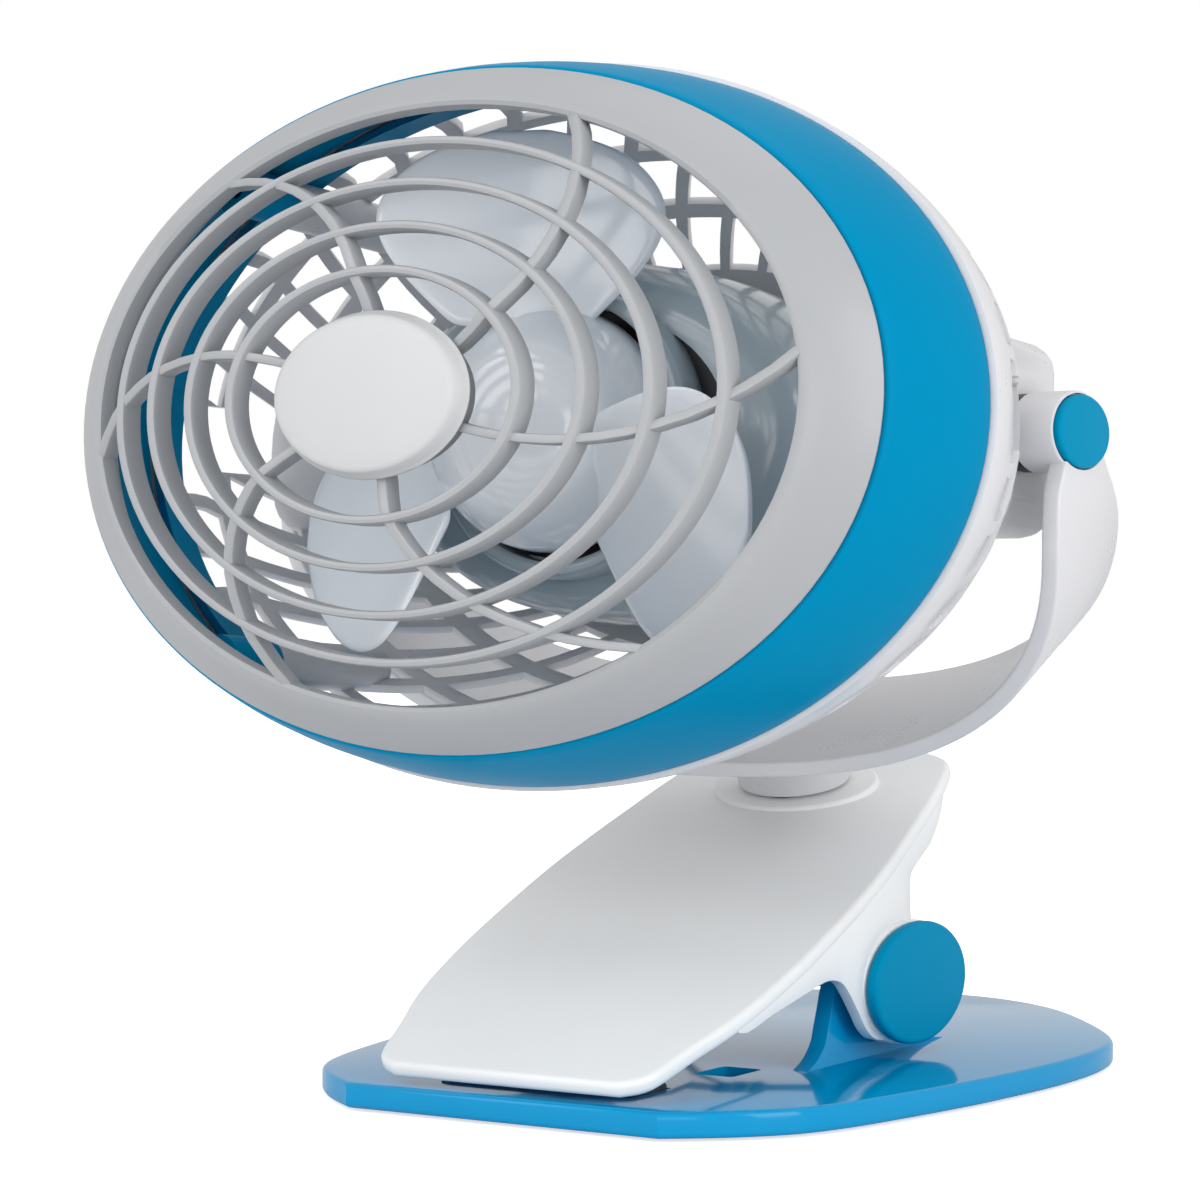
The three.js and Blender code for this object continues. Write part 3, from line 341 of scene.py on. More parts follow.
def round_bar(radius, start, end, at=(0, 0), axis="X", oval=1, sides=64):
    """A cylinder between two stations on an axis, `oval` times as wide along Y or X."""
    middle = (start + end) / 2
    turn = {"X": (0, QUARTER_TURN, 0), "Y": (QUARTER_TURN, 0, 0), "Z": (0, 0, 0)}[axis]
    centre = {"X": (middle, *at), "Y": (at[0], middle, at[1]), "Z": (*at, middle)}[axis]
    widen = {"X": (1, oval, 1), "Y": (oval, 1, 1), "Z": (oval, 1, 1)}[axis]
    bpy.ops.object.select_all(action="DESELECT")
    bpy.ops.mesh.primitive_cylinder_add(
        vertices=sides, radius=radius * MM, depth=(end - start) * MM, rotation=turn
    )
    place_in_mesh()
    bpy.context.object.scale = widen
    bpy.context.object.location = Vector(centre) * MM
    place_in_mesh()
    return bpy.context.object


def block(low, high):
    """A box from one corner to the other, to cut with."""
    bpy.ops.object.select_all(action="DESELECT")
    bpy.ops.mesh.primitive_cube_add(size=1)
    piece = bpy.context.object
    piece.scale = [(b - a) * MM for a, b in zip(low, high)]
    piece.location = [(a + b) / 2 * MM for a, b in zip(low, high)]
    place_in_mesh()
    return piece


def joined(*pieces):
    """Puts several meshes into one object."""
    bpy.ops.object.select_all(action="DESELECT")
    for piece in pieces:
        piece.select_set(True)
    bpy.context.view_layer.objects.active = pieces[0]
    bpy.ops.object.join()
    return bpy.context.object


def mirrored(piece, side):
    """The piece as it is for the right side, or turned over for the left."""
    if side > 0:
        return piece
    take(piece)
    bpy.ops.object.mode_set(mode="EDIT")
    bpy.ops.mesh.select_all(action="SELECT")
    bpy.ops.transform.resize(value=(-1, 1, 1), center_override=(0, 0, 0))
    mend()
    return done()


def stand_in_head(piece):
    """Takes a piece from the fan's own upright frame to its place below the tilt axis."""
    return moved(moved(piece, (0, 0, -HEAD_DROP)), (0, 0, TILT_HEIGHT), HEAD_TILT)


def stand_on_neck(piece):
    """Leans a piece back with the neck, about the tilt axis, and lifts it to its height."""
    return moved(piece, (0, 0, TILT_HEIGHT), ARM_LEAN)


def moved(piece, place, turn=0):
    """Turns a piece about the X axis and then moves it."""
    take(piece)
    piece.rotation_euler = (turn, 0, 0)
    piece.location = Vector(place) * MM
    place_in_mesh()
    return piece


def finished(piece, name, body, material, replaces=(), crease=35):
    """Names a piece, gives it its finish and its body, and shades it smooth between its creases."""
    take(piece)
    bpy.ops.object.shade_smooth_by_angle(angle=math.radians(crease))
    piece.name = piece.data.name = name
    piece.data.materials.clear()
    piece.data.materials.append(material)
    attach(piece, body)
    if replaces:
        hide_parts(*replaces)
    return piece


# ---------------------------------------------------------------- grille
# The domed front as (half height, forward distance) points from the middle to the ring.
DOME = [(0, 104.6), (15.9, 104.6), (22.9, 106.6), (31.4, 104), (39.9, 100.6), (48.4, 95.5), (57.3, 88)]
RIBS = DOME[2:6]
RIB_WIDTH, RIB_DEPTH = 1.7, 5
SPOKES, SPOKE_STEPS = 6, 15
SPOKE_FROM, SPOKE_LENGTH = 9, 48.2
SPOKE_DEPTH = RIB_DEPTH - 0.8
SPOKE_START, SPOKE_SWIRL = 3, 35  # degrees at the middle, and gained on the way to the ring
SPOKE_SET_BACK = 0.1
RING_INSIDE = 57.1
RING = [
    (63.6, 73.7), (63.6, 78.5), (64.9, 78.5), (65.0, 79.0), (64.6, 79.8), (61.4, 84.4), (59.4, 86.7),
    (58.2, 87.8), (57.2, 88.2), (56.4, 87.9), (56.1, 87.0), (56.1, 84.6), (57.4, 84.6), (58.1, 85.8),
    (62.0, 79.4), (62.0, 73.7),
]
HUB = [(3, 99), (13.2, 99), (13.7, 99.6), (13.7, 103.6), (13.2, 104.1), (3, 104.1)]
CAP = [
    (0, 104.4), (14.9, 104.4), (15.4, 104.7), (15.5, 105.2), (15.2, 105.6), (14.9, 106.0),
    (14.5, 107.6), (14.1, 108.2), (13.4, 108.45), (10.5, 108.9), (6, 109.25), (0, 109.4),
]


def dome_front(radius):
    """How far forward the grille's dome stands at a radius."""
    for (r0, h0), (r1, h1) in zip(DOME, DOME[1:]):
        if radius <= r1:
            return h0 + (h1 - h0) * (radius - r0) / (r1 - r0)
    return DOME[-1][1]


def grille_hoop(profile, steps):
    spun(profile, steps, closed=True)
    return done()


def grille_rib(radius, front):
    """A hoop whose front edge is drawn to a rounded nose."""
    half, rear = RIB_WIDTH / 2, front - RIB_DEPTH
    brow, nose, shoulder = half * 0.7, front - 0.2, front - 0.8
    profile = [
        (radius - half, rear), (radius + half, rear), (radius + half, shoulder),
        (radius + brow, nose), (radius, front), (radius - brow, nose), (radius - half, shoulder),
    ]
    return grille_hoop(profile, 112)


def spoke_point(radius):
    """The middle of a spoke's section at a radius, before the spoke is turned to its place."""
    swirl = math.radians(SPOKE_START + SPOKE_SWIRL * (radius / RING_INSIDE) ** 2)
    depth = dome_front(radius) - RIB_DEPTH / 2 - SPOKE_SET_BACK
    return Vector((radius * math.cos(swirl), -depth, radius * math.sin(swirl)))


def grille_spoke(index):
    """A bar extruded from the hub to the ring, turning with its own swirl as it goes."""
    stations = [SPOKE_FROM + SPOKE_LENGTH * step / SPOKE_STEPS for step in range(SPOKE_STEPS + 1)]
    points = [spoke_point(radius) for radius in stations]
    headings = [math.atan2((b - a).z, (b - a).x) for a, b in zip(points, points[1:])]
    bpy.ops.object.select_all(action="DESELECT")
    bpy.ops.mesh.primitive_plane_add(size=1, rotation=(0, QUARTER_TURN, 0))
    bpy.context.object.scale = (RIB_WIDTH * MM, SPOKE_DEPTH * MM, 1)
    place_in_mesh()
    bpy.context.object.rotation_euler = (0, -headings[0], 0)
    bpy.context.object.location = points[0] * MM
    place_in_mesh()
    bpy.ops.object.mode_set(mode="EDIT")
    bpy.ops.mesh.select_all(action="SELECT")
    for step, (start, end) in enumerate(zip(points, points[1:])):
        bpy.ops.mesh.extrude_region_move(TRANSFORM_OT_translate={"value": (end - start) * MM})
        if step + 1 < len(headings):
            bend = headings[step + 1] - headings[step]
            bpy.ops.transform.rotate(value=bend, orient_axis="Y", center_override=end * MM)
    mend()
    turn = FULL_TURN * (index + 0.5) / SPOKES
    bpy.ops.transform.rotate(value=turn, orient_axis="Y", center_override=(0, 0, 0))
    bpy.ops.transform.resize(value=(OVAL, 1, 1), center_override=(0, 0, 0))
    return soften(done(), 0.45, 2, 50)


def front_grille():
    hoops = [grille_hoop(HUB, 64), grille_hoop(RING, 128), *[grille_rib(*rib) for rib in RIBS]]
    guard = stand_in_head(joined(*hoops, *[grille_spoke(index) for index in range(SPOKES)]))
    return finished(guard, "guard", "head", GRILLE_GREY, ["front_grille"])


def grille_cap():
    spun(CAP, 96)
    cap = stand_in_head(done())
    return finished(cap, "guard_cap", "head", CAP_WHITE, ["grille_cap"], 50)


# ---------------------------------------------------------------- housing
BAND = [(70.6, 51.95), (70.35, 56), (69.7, 61), (68.75, 66.5), (67.5, 72), (66.3, 76), (65.6, 78.2)]
BAND_SKIRT = [(66.4, 52.6), (68.4, 51.4), (68.4, 44), (67.2, 44), (66.6, 51)]
WALL = 2
TOWER_CIRCLE, TOWER_ANGLE = 63.5, math.radians(48)
TOWER_RADIUS, TOWER_HOLE, TOWER_END = 5, 1.7, 2
TOWERS = [
    (x * OVAL * TOWER_CIRCLE * math.cos(TOWER_ANGLE), z * TOWER_CIRCLE * math.sin(TOWER_ANGLE))
    for x in (1, -1) for z in (1, -1)
]


def screw_post(at, rear, front):
    """A moulded post with a screw hole sunk into its front end."""
    piece = round_bar(TOWER_RADIUS, -front, -rear, at, "Y", sides=32)
    bpy.ops.object.mode_set(mode="EDIT")
    choose(lambda centre, normal: normal.y < -FACING, "FACE")
    bpy.ops.mesh.inset(thickness=(TOWER_RADIUS - TOWER_HOLE) * MM)
    inwards = Vector((0, front - rear - TOWER_END, 0)) * MM
    bpy.ops.mesh.extrude_region_move(TRANSFORM_OT_translate={"value": inwards})
    return done()


def tower_posts(rear, front, hull):
    """The four posts between two forward distances, cut off where they would leave the hull."""
    return carve(joined(*[screw_post(at, rear, front) for at in TOWERS]), hull, "INTERSECT")


def centre_band():
    inside = [(r - WALL, h) for r, h in reversed(BAND)]
    spun(BAND + inside, 144, closed=True)
    shell = soften(done(), 0.3, 2, 50)
    spun([(0, BAND[0][1]), *[(r - 0.4, h) for r, h in BAND], (0, BAND[-1][1])], 96)
    posts = tower_posts(57.4, 72.3, done())
    spun(BAND_SKIRT, 120, closed=True)
    band = stand_in_head(joined(shell, done(), posts))
    return finished(band, "band", "head", BLUE, ["centre_band"])


SHELL_RADIUS, SHELL_FRONT, SHELL_LENGTH, SHELL_FULLNESS = 71.4, 51.6, 94.9, 1.2
# Forward distances of the shell's rows, and those between which its vents open.
SHELL_STATIONS = [
    SHELL_FRONT, 46, 41, 38, 35, 32, 29, 25, 20, 15.5, 12, 7.5, 3, -1, -4.5, -8.5, -13, -17, -21, -25,
    -28.5, -31,
]
VENT_ROWS = [(32, 41), (15.5, 29), (-1, 12), (-17, -4.5)]
VENTS_ROUND, COLUMNS = 40, 160
SLANT_FROM, SLANT = 36, math.radians(0.42)  # rows behind this turn by so much for each millimetre
REAR_DISC = [(19, -33), (0, -33)]
BUTTON_HOLE, SOCKET_HOLE = (6.3, 8), (4.4, -8.5)  # radius and height above the fan's axis
SEAT_HALF = (19, 19.5)  # half length and half height of a pivot seat
SEAT_WALL = 2.2
SEAT_FLOOR = (78.2, 81.2)
SEAT_OVERLAP = 0.1
NOTCH_REAR, NOTCH_FRONT, NOTCH_HALF = 10, 42, 7
POD_SEAT = 31.6
BEYOND = 120  # outside the head's side


def dome(forward):
    """Half height of the rear shell's outside at a forward distance: full, with a soft point."""
    lean = math.asin(((SHELL_FRONT - forward) / SHELL_LENGTH) ** (1 / SHELL_FULLNESS))
    return SHELL_RADIUS * math.cos(lean) ** SHELL_FULLNESS


def in_vent(centre, normal):
    """Whether a face of the shell lies in a vent. Every fourth column is a slat."""
    column = math.floor(math.atan2(centre.z, centre.x) / FULL_TURN * COLUMNS + 0.01)
    in_row = any(rear < -centre.y < front for rear, front in VENT_ROWS)
    return column % (COLUMNS // VENTS_ROUND) != 0 and in_row


def seat_block(low, high, inset, rounding=6, rise=0):
    """A rounded block across the tilt axis, as large as a pivot seat but for the inset."""
    half_y, half_z = (half - inset for half in SEAT_HALF)
    return soften(block((low, -half_y, rise - half_z), (high, half_y, rise + half_z)), rounding, 4)


def close_slit(piece):
    """Fills the hair-thin opening that a cut leaves beside a vent's corner."""
    take(piece)
    bpy.ops.object.mode_set(mode="EDIT")
    bpy.ops.mesh.select_mode(type="EDGE")
    bpy.ops.mesh.select_all(action="DESELECT")
    bpy.ops.mesh.select_non_manifold()
    bpy.ops.mesh.edge_face_add()
    return done()


def vented_dome():
    """The dome is spun, its vents taken out, its rows turned to slant and its wall thickened."""
    spun([(dome(h), h) for h in SHELL_STATIONS] + REAR_DISC, COLUMNS, oval=1)
    choose(in_vent, "FACE")
    bpy.ops.mesh.delete(type="FACE")
    for h in SHELL_STATIONS:
        choose(lambda at: abs(at.y + h) < 0.05)
        slant = max(0, SLANT_FROM - h) * SLANT
        bpy.ops.transform.rotate(value=slant, orient_axis="Y", center_override=(0, 0, 0))
    bpy.ops.mesh.select_all(action="SELECT")
    bpy.ops.transform.resize(value=(OVAL, 1, 1), center_override=(0, 0, 0))
    return modifier(done(), "SOLIDIFY", thickness=WALL * MM, offset=-1, use_even_offset=True)


def rear_shell():
    """The vented dome with its openings cut, its screw posts and the ring that the pod stands in."""
    shell = vented_dome()
    for side, _ in SIDES:
        carve(shell, mirrored(seat_block(62, BEYOND, SEAT_OVERLAP, rise=HEAD_DROP), side))
        low = (62, -NOTCH_FRONT, HEAD_DROP - NOTCH_HALF)
        notch = soften(block(low, (BEYOND, -NOTCH_REAR, HEAD_DROP + NOTCH_HALF)), 3, 3)
        carve(shell, mirrored(notch, side))
    for radius, height in (BUTTON_HOLE, SOCKET_HOLE):
        carve(shell, round_bar(radius, 25, 40, (0, height), "Y"))
    shell = soften(close_slit(shell), 0.35, 2, 40)
    inside = [(dome(h) - 0.6, h) for h in SHELL_STATIONS[1:] if h > 5]
    spun(inside + [(0, 7.5), (0, 60), (66, 60)], 96, closed=True)
    posts = tower_posts(20, 57, done())
    pod_ring = [(POD_SEAT, -30), (POD_SEAT, -15.3), (POD_SEAT - 2.2, -15.3), (POD_SEAT - 2.2, -30)]
    spun(pod_ring, 64, closed=True)
    back = stand_in_head(joined(shell, done(), posts))
    return finished(back, "back_shell", "head", WHITE, ["rear_shell"])


def pivot_seats():
    """The two sunk flat seats that the yoke's ends clamp, each a tray with a screw hole."""
    for side, hand in SIDES:
        spun([(dome(h), h) for h in SHELL_STATIONS] + [(0, SHELL_STATIONS[-1]), (0, SHELL_FRONT)], 96)
        whole = moved(done(), (0, 0, -HEAD_DROP))
        seat = carve(seat_block(66, BEYOND, 0), whole, "INTERSECT")
        carve(seat, seat_block(64, SEAT_FLOOR[1], -SEAT_OVERLAP), "UNION")
        carve(seat, seat_block(40, SEAT_FLOOR[0], SEAT_WALL, 5))
        carve(seat, seat_block(SEAT_FLOOR[1], BEYOND + 10, SEAT_WALL, 5))
        carve(seat, round_bar(SCREW_HOLE, 70, 90, sides=24))
        seat = moved(soften(mirrored(seat, side), 0.3, 2, 40), (0, 0, TILT_HEIGHT), HEAD_TILT)
        finished(seat, f"pivot_seat_{hand}", "head", WHITE)


POD = [
    (27, -15), (32.6, -15), (35.2, -10), (36.4, -2), (36.8, 8), (36.6, 18), (35.8, 27), (34.4, 31.5),
    (32, 34.2), (29, 35.7), (27, 36), (25, 36), (25, 34.9), (27, 34.9), (27, 31.7), (31, 31),
    (34.4, 17), (34.6, 8), (33.4, -8), (30.5, -13), (27, -13),
]
POD_COLLAR = [(26, 30), (29.4, 30), (29.4, 42), (28.6, 43.2), (27, 43.2), (26, 42.4)]


def motor_pod():
    """The smoky motor housing, with a round collar that reaches forward to the rotor."""
    spun(POD, 96, closed=True)
    housing = done()
    spun(POD_COLLAR, 72, closed=True, oval=1)
    whole = stand_in_head(joined(housing, soften(done(), 0.3)))
    return finished(whole, "pod", "head", SMOKE, ["motor_pod"])


# ---------------------------------------------------------------- rotor
BLADES, BLADE_COLUMNS, BLADE_ROWS = 3, 8, 14
BLADE_ROOT, BLADE_TIP, BLADE_FORWARD = 19, 58, 56
BLADE_WIDTH, BLADE_THICKNESS = 62, 1.6
GRID_WIDTH = 20  # of the flat grid that a blade starts as
PITCH, PITCH_LOSS = 35, 14  # degrees at the root, and lost on the way to the tip
FIRST_BLADE = -2  # degrees off upright
ROTOR_HUB = [
    (0, 61.2), (4.6, 61.2), (10.8, 60.6), (16.2, 58.6), (19.8, 55.2), (21.9, 50.6), (22.4, 46),
    (22.4, 41), (24.2, 41), (24.4, 46), (23.8, 51), (21.6, 56.2), (17.4, 60.2), (11.4, 62.4),
    (4.6, 63), (0, 63),
]


def blade_width(share):
    """A blade swells from its root and rounds off at its tip."""
    tip = math.sqrt(max(1 - share ** 4.2, 0.03))
    return BLADE_WIDTH * tip * (0.42 + 0.58 * math.sin(min(share * 2.3, 1.57)))


def blade(index):
    """A grid whose rows are widened and pitched one by one, then thickened and smoothed."""
    length = BLADE_TIP - BLADE_ROOT
    bpy.ops.object.select_all(action="DESELECT")
    bpy.ops.mesh.primitive_grid_add(
        x_subdivisions=BLADE_COLUMNS, y_subdivisions=BLADE_ROWS, size=1, rotation=(QUARTER_TURN, 0, 0)
    )
    bpy.context.object.scale = (GRID_WIDTH * MM, length * MM, 1)
    bpy.context.object.location = (0, -BLADE_FORWARD * MM, (BLADE_ROOT + BLADE_TIP) / 2 * MM)
    place_in_mesh()
    bpy.ops.object.mode_set(mode="EDIT")
    for row in range(BLADE_ROWS + 1):
        share = row / BLADE_ROWS
        z = BLADE_ROOT + length * share
        choose(lambda at: abs(at.z - z) < 0.5)
        centre = (0, -BLADE_FORWARD * MM, z * MM)
        widen = (blade_width(share) / GRID_WIDTH, 1, 1)
        bpy.ops.transform.resize(value=widen, center_override=centre)
        pitch = math.radians(PITCH - PITCH_LOSS * share)
        bpy.ops.transform.rotate(value=-pitch, orient_axis="Z", center_override=centre)
    mend()
    piece = modifier(done(), "SOLIDIFY", thickness=BLADE_THICKNESS * MM, offset=0)
    piece = modifier(piece, "SUBSURF", levels=2, render_levels=2)
    turn = math.radians(FIRST_BLADE + 360 / BLADES * index)
    piece.data.transform(Matrix.Rotation(turn, 4, "Y"))
    return piece


def fan_rotor():
    """The hollow hub with its core, bored for the shaft, and the blades."""
    spun(ROTOR_HUB, 72, oval=1)
    hub = done()
    core = round_bar(5, -61.7, -41, axis="Y", sides=32)
    carve(core, round_bar(1.7, -57.3, -40, axis="Y", sides=24))
    rotor = stand_in_head(joined(hub, core, *[blade(index) for index in range(BLADES)]))
    return finished(rotor, "rotor", "rotor", BLADE, ["fan_rotor"], 50)


# ---------------------------------------------------------------- yoke
# The strip's edges as (y, z) points down from the tilt axis.
BOW_FRONT = [(-6.6, 0), (-10, -2), (-13.6, -4.6), (-17.5, -14), (-18, -24), (-16.4, -45), (-13.5, -73)]
BOW_REAR = [
    (6.6, 0), (7.6, -6), (9.5, -12), (14.5, -22.5), (17.5, -35), (20.3, -46), (24, -61), (27.5, -73),
]
BOW_END = 6.6  # the strip's ends are round about the tilt axis
BOW_HALF_WIDTH, BOW_REACH, BOW_SQUARENESS = 94, 71.6, 2.52
BOW_THICKNESS = 3.7
STRIP_WIDTH = 40  # of the strip as it is first pushed out
ASIDE = 1  # metre that a row moves once it is set, so that it isn't chosen again
BOSS_RADIUS, BOSS_OVAL, BOSS_INNER, BOSS_OUTER = 8, 1.61, 84.2, 93.4
LID_OVAL = 1.68
LID_FLOOR, SCREW_FLOOR = 92.1, 86.5  # seats of the blue lid and of the screw's head in a boss
NECK_Y, NECK_OVAL = 19.7, 1.5
NECK_SCREW_HOLE = 2.7


def rounded(points, steps):
    """The points of an outline with a smooth curve laid through them."""
    ends = [Vector(point) for point in (points[0], *points, points[-1])]
    curve = []
    for before, start, end, after in zip(ends, ends[1:], ends[2:], ends[3:]):
        for step in range(steps):
            t = step / steps
            bow_in = start * 2 + (end - before) * t
            curl = (before * 2 - start * 5 + end * 4 - after) * t ** 2
            curve.append((bow_in + curl + (start * 3 - before - end * 3 + after) * t ** 3) / 2)
    return [tuple(point) for point in curve] + [tuple(points[-1])]


def bow_edges(height):
    """How far forward and back the strip reaches at a height from the tilt axis."""
    if height > 0:
        half = math.sqrt(max(BOW_END ** 2 - height ** 2, 4))
        return -half, half
    edges = []
    for points in (BOW_FRONT, BOW_REAR):
        curve = rounded(points, 5)
        for (y0, z0), (y1, z1) in zip(curve, curve[1:]):
            if z1 <= height:
                edges.append(y0 + (y1 - y0) * (height - z0) / (z1 - z0))
                break
    return edges


def bow_points(count=64):
    """The strip's outer line seen from the front: a squarish half oval with its ends above the axis."""
    points = []
    for step in range(count + 1):
        a = math.pi * step / count
        across = math.copysign(abs(math.cos(a)) ** (2 / BOW_SQUARENESS), math.cos(a))
        down = math.sin(a) ** (2 / BOW_SQUARENESS)
        points.append((BOW_HALF_WIDTH * across, 0, -BOW_REACH * down))
    ends = [BOW_END * math.sin(math.radians(turn)) for turn in (75, 60, 45, 30, 15)]
    right = [(BOW_HALF_WIDTH, 0, z) for z in ends]
    return right + points + [(-x, y, z) for x, y, z in reversed(right)]


def strip():
    """The bow's line pushed out flat, each row of it drawn to its edges, then given its thickness."""
    rim = bow_points()
    begin_at(rim[0])
    grow(rim)
    bpy.ops.mesh.select_all(action="SELECT")
    bpy.ops.mesh.extrude_region_move(TRANSFORM_OT_translate={"value": (0, STRIP_WIDTH * MM, 0)})
    for height in sorted({round(z, 2) for _, _, z in rim}):
        for edge, place in zip(bow_edges(height), (0, STRIP_WIDTH)):
            choose(lambda at: abs(at.z - height) < 0.006 and abs(at.y - place) < 0.01)
            bpy.ops.transform.translate(value=(0, (edge - place) * MM + ASIDE, 0))
    bpy.ops.mesh.select_all(action="SELECT")
    bpy.ops.transform.translate(value=(0, -ASIDE, 0))
    bpy.ops.mesh.normals_make_consistent(inside=False)
    choose(lambda centre, normal: centre.z < 1 - BOW_REACH, "FACE")
    mesh = bmesh.from_edit_mesh(bpy.context.object.data)
    outward = sum(face.normal.z for face in mesh.faces if face.select) < 0
    inwards = -1 if outward else 1
    bow = modifier(
        done(), "SOLIDIFY", thickness=BOW_THICKNESS * MM, offset=inwards, use_even_offset=True
    )
    return soften(bow, 0.8, 3, 50)


def level(piece):
    """Turns a piece back from the arm's lean to stand level."""
    return moved(piece, (0, 0, 0), -ARM_LEAN)


def yoke():
    """The bent strip with its screw bosses and its neck joined on and bored."""
    bow, neck = strip(), (0, NECK_Y)
    for side, _ in SIDES:
        boss = round_bar(BOSS_RADIUS, BOSS_INNER, BOSS_OUTER, oval=BOSS_OVAL, sides=80)
        carve(bow, mirrored(level(soften(boss, 0.6, 3)), side), "UNION")
    hub = soften(round_bar(9, -89.5, -69, neck, "Z", oval=NECK_OVAL, sides=80), 0.5, 2)
    carve(bow, hub, "UNION")
    for side, _ in SIDES:
        lid_seat = level(round_bar(7.5, LID_FLOOR, BEYOND, oval=LID_OVAL, sides=80))
        carve(bow, mirrored(lid_seat, side))
        carve(bow, mirrored(round_bar(4.4, SCREW_FLOOR, BEYOND, sides=32), side))
        carve(bow, mirrored(round_bar(SCREW_HOLE, 60, BEYOND, sides=32), side))
    carve(bow, round_bar(7.8, -70.1, -55, neck, "Z", sides=48))
    carve(bow, round_bar(NECK_SCREW_HOLE, -95, -60, neck, "Z", sides=32))
    return finished(stand_on_neck(bow), "bow", "bow", WHITE, ["yoke"])


def tilt_gaskets():
    """The black rings between the yoke's bosses and the head."""
    for side, hand in SIDES:
        ring = soften(round_bar(7.7, 81.6, 83.9, oval=BOSS_OVAL, sides=80), 0.3, 2)
        carve(ring, round_bar(2.2, 70, 90, sides=24))
        ring = mirrored(moved(ring, (0, 0, TILT_HEIGHT)), side)
        finished(ring, f"tilt_gasket_{hand}", "head", BLACK, [f"tilt_spacer_{hand}"])


def lid(radius, start, end, at, oval, lip):
    """A shallow oval cover whose face is drawn in and rounded over."""
    cover = round_bar(radius, start, end, at, oval=oval, sides=96)
    bpy.ops.object.mode_set(mode="EDIT")
    choose(lambda centre, normal: normal.x > FACING, "FACE")
    bpy.ops.mesh.inset(thickness=lip * 1.6 * MM)
    bpy.ops.transform.translate(value=(0.12 * MM, 0, 0))
    return soften(done(), lip, 3)


def covers():
    """The oval blue caps over the tilt screws and over the hinge pin's ends."""
    for side, hand in SIDES:
        cap = mirrored(lid(7.2, 92.4, 94.5, (0, TILT_HEIGHT), LID_OVAL, 0.5), side)
        finished(cap, f"tilt_lid_{hand}", "bow", CAP_BLUE, [f"tilt_cap_{hand}"])
        cap = mirrored(lid(12.8, 41.6, 44.1, HINGE, 1.66, 0.8), side)
        finished(cap, f"hinge_lid_{hand}", "clip", CAP_BLUE, [f"hinge_cap_{hand}"])


# ---------------------------------------------------------------- clip
def both_sides(points):
    """A closed outline, symmetric about the middle, from the points of its right half."""
    right = [(x, y) for x, y in points if x > -0.01]
    left = [(-x, y) for x, y in reversed(right) if x > 0.01]
    return [(x, y, 0) for x, y in right + left]


JAW_EDGE = [  # half width, distance up the slope
    (26, -116.4), (31.4, -112.6), (34.7, -100.7), (38.5, -86.7), (40.5, -68), (40.9, -50),
    (40.4, -31), (38.9, -15), (37, -1), (35.3, 11), (33, 22), (29.5, 29.5), (20, 34.5),
]
CHEEK = [  # a side wall's outline as (y, z) points, round by its lower edge
    (62, 66), (61, 57.5), (52.5, 49.4), (44.5, 45.8), (37.5, 42.8), (36, 38.2), (36, 26), (35, 14),
    (28, 10), (18, 9.6), (12.5, 12), (8.7, 16), (4.3, 20.6), (1, 23.1), (-4, 24.1), (-10.4, 23.2),
    (-24.9, 19.7), (-36, 16.9), (-40, 26),
]


JAW_PLACE = (0, 45, 54.2 + FEET)  # where the slope's distances are counted from
JAW_PANEL = 3.5
JAW_WALL_OUTSIDE, JAW_WALL_INSIDE = 0.1, 2.5  # insets from the panel's edge
CHEEK_REACH = 60


def under_edge(inset, top, depth):
    """A prism under the panel's outline, drawn in at its sides."""
    outline(both_sides([(x - inset, y) for x, y in rounded(JAW_EDGE, 4)]))
    bpy.ops.transform.translate(value=(0, 0, top * MM))
    extrude_along((0, 0, -depth))
    return moved(done(), JAW_PLACE, JAW_SLOPE)


def upper_jaw():
    """A sloping panel with side walls that follow its edge, hinge bosses and a collar."""
    outline(both_sides(rounded(JAW_EDGE, 5)))
    extrude_along((0, 0, -JAW_PANEL))
    panel = moved(soften(done(), 1.3, 4, 50), JAW_PLACE, JAW_SLOPE)
    walls = carve(under_edge(JAW_WALL_OUTSIDE, -1, 60), under_edge(JAW_WALL_INSIDE, 0, 63))
    outline([(-CHEEK_REACH, y, z + FEET) for y, z in rounded(CHEEK, 4)])
    extrude_along((2 * CHEEK_REACH, 0, 0))
    walls = soften(carve(walls, done(), "INTERSECT"), 0.5, 2, 50)
    pieces = [panel, walls]
    for side, _ in SIDES:
        boss = soften(round_bar(13, 36.6, 41.2, HINGE, oval=1.62, sides=96), 0.8, 3)
        pieces.append(mirrored(boss, side))
    neck = (0, NECK_Y)
    collar = soften(round_bar(12.5, -96.6, -90.1, neck, "Z", oval=1.6, sides=96), 0.8, 4)
    carve(collar, round_bar(7.9, -91.7, -80, neck, "Z", sides=48))
    carve(collar, round_bar(NECK_SCREW_HOLE, -99, -70, neck, "Z", sides=32))
    pieces.append(stand_on_neck(collar))
    return finished(joined(*pieces), "jaw_top", "clip", JAW_WHITE, ["upper_jaw"])


BASE_EDGE = [  # half width and Y of the plate's outline
    (36, -64), (47, -55.5), (56, -45), (61, -33), (64.5, -19), (68, -2), (70.5, 14), (72.8, 39),
    (71.8, 62), (66.6, 79), (53, 99), (35, 119), (17, 129.6), (0, 132), (-17, 129.6),
]
EAR = [  # outline of a hinge ear as (y, z) points
    (-4, 4.5), (1.5, 6.8), (5, 9.8), (6.4, 13), (8, 17), (9.4, 20.6), (12.4, 24.6), (18, 28.3),
    (25, 30.8), (31, 31.4), (36.5, 29.4), (39.5, 24), (40, 17), (43, 11), (51, 6.5), (66, 4.5),
]


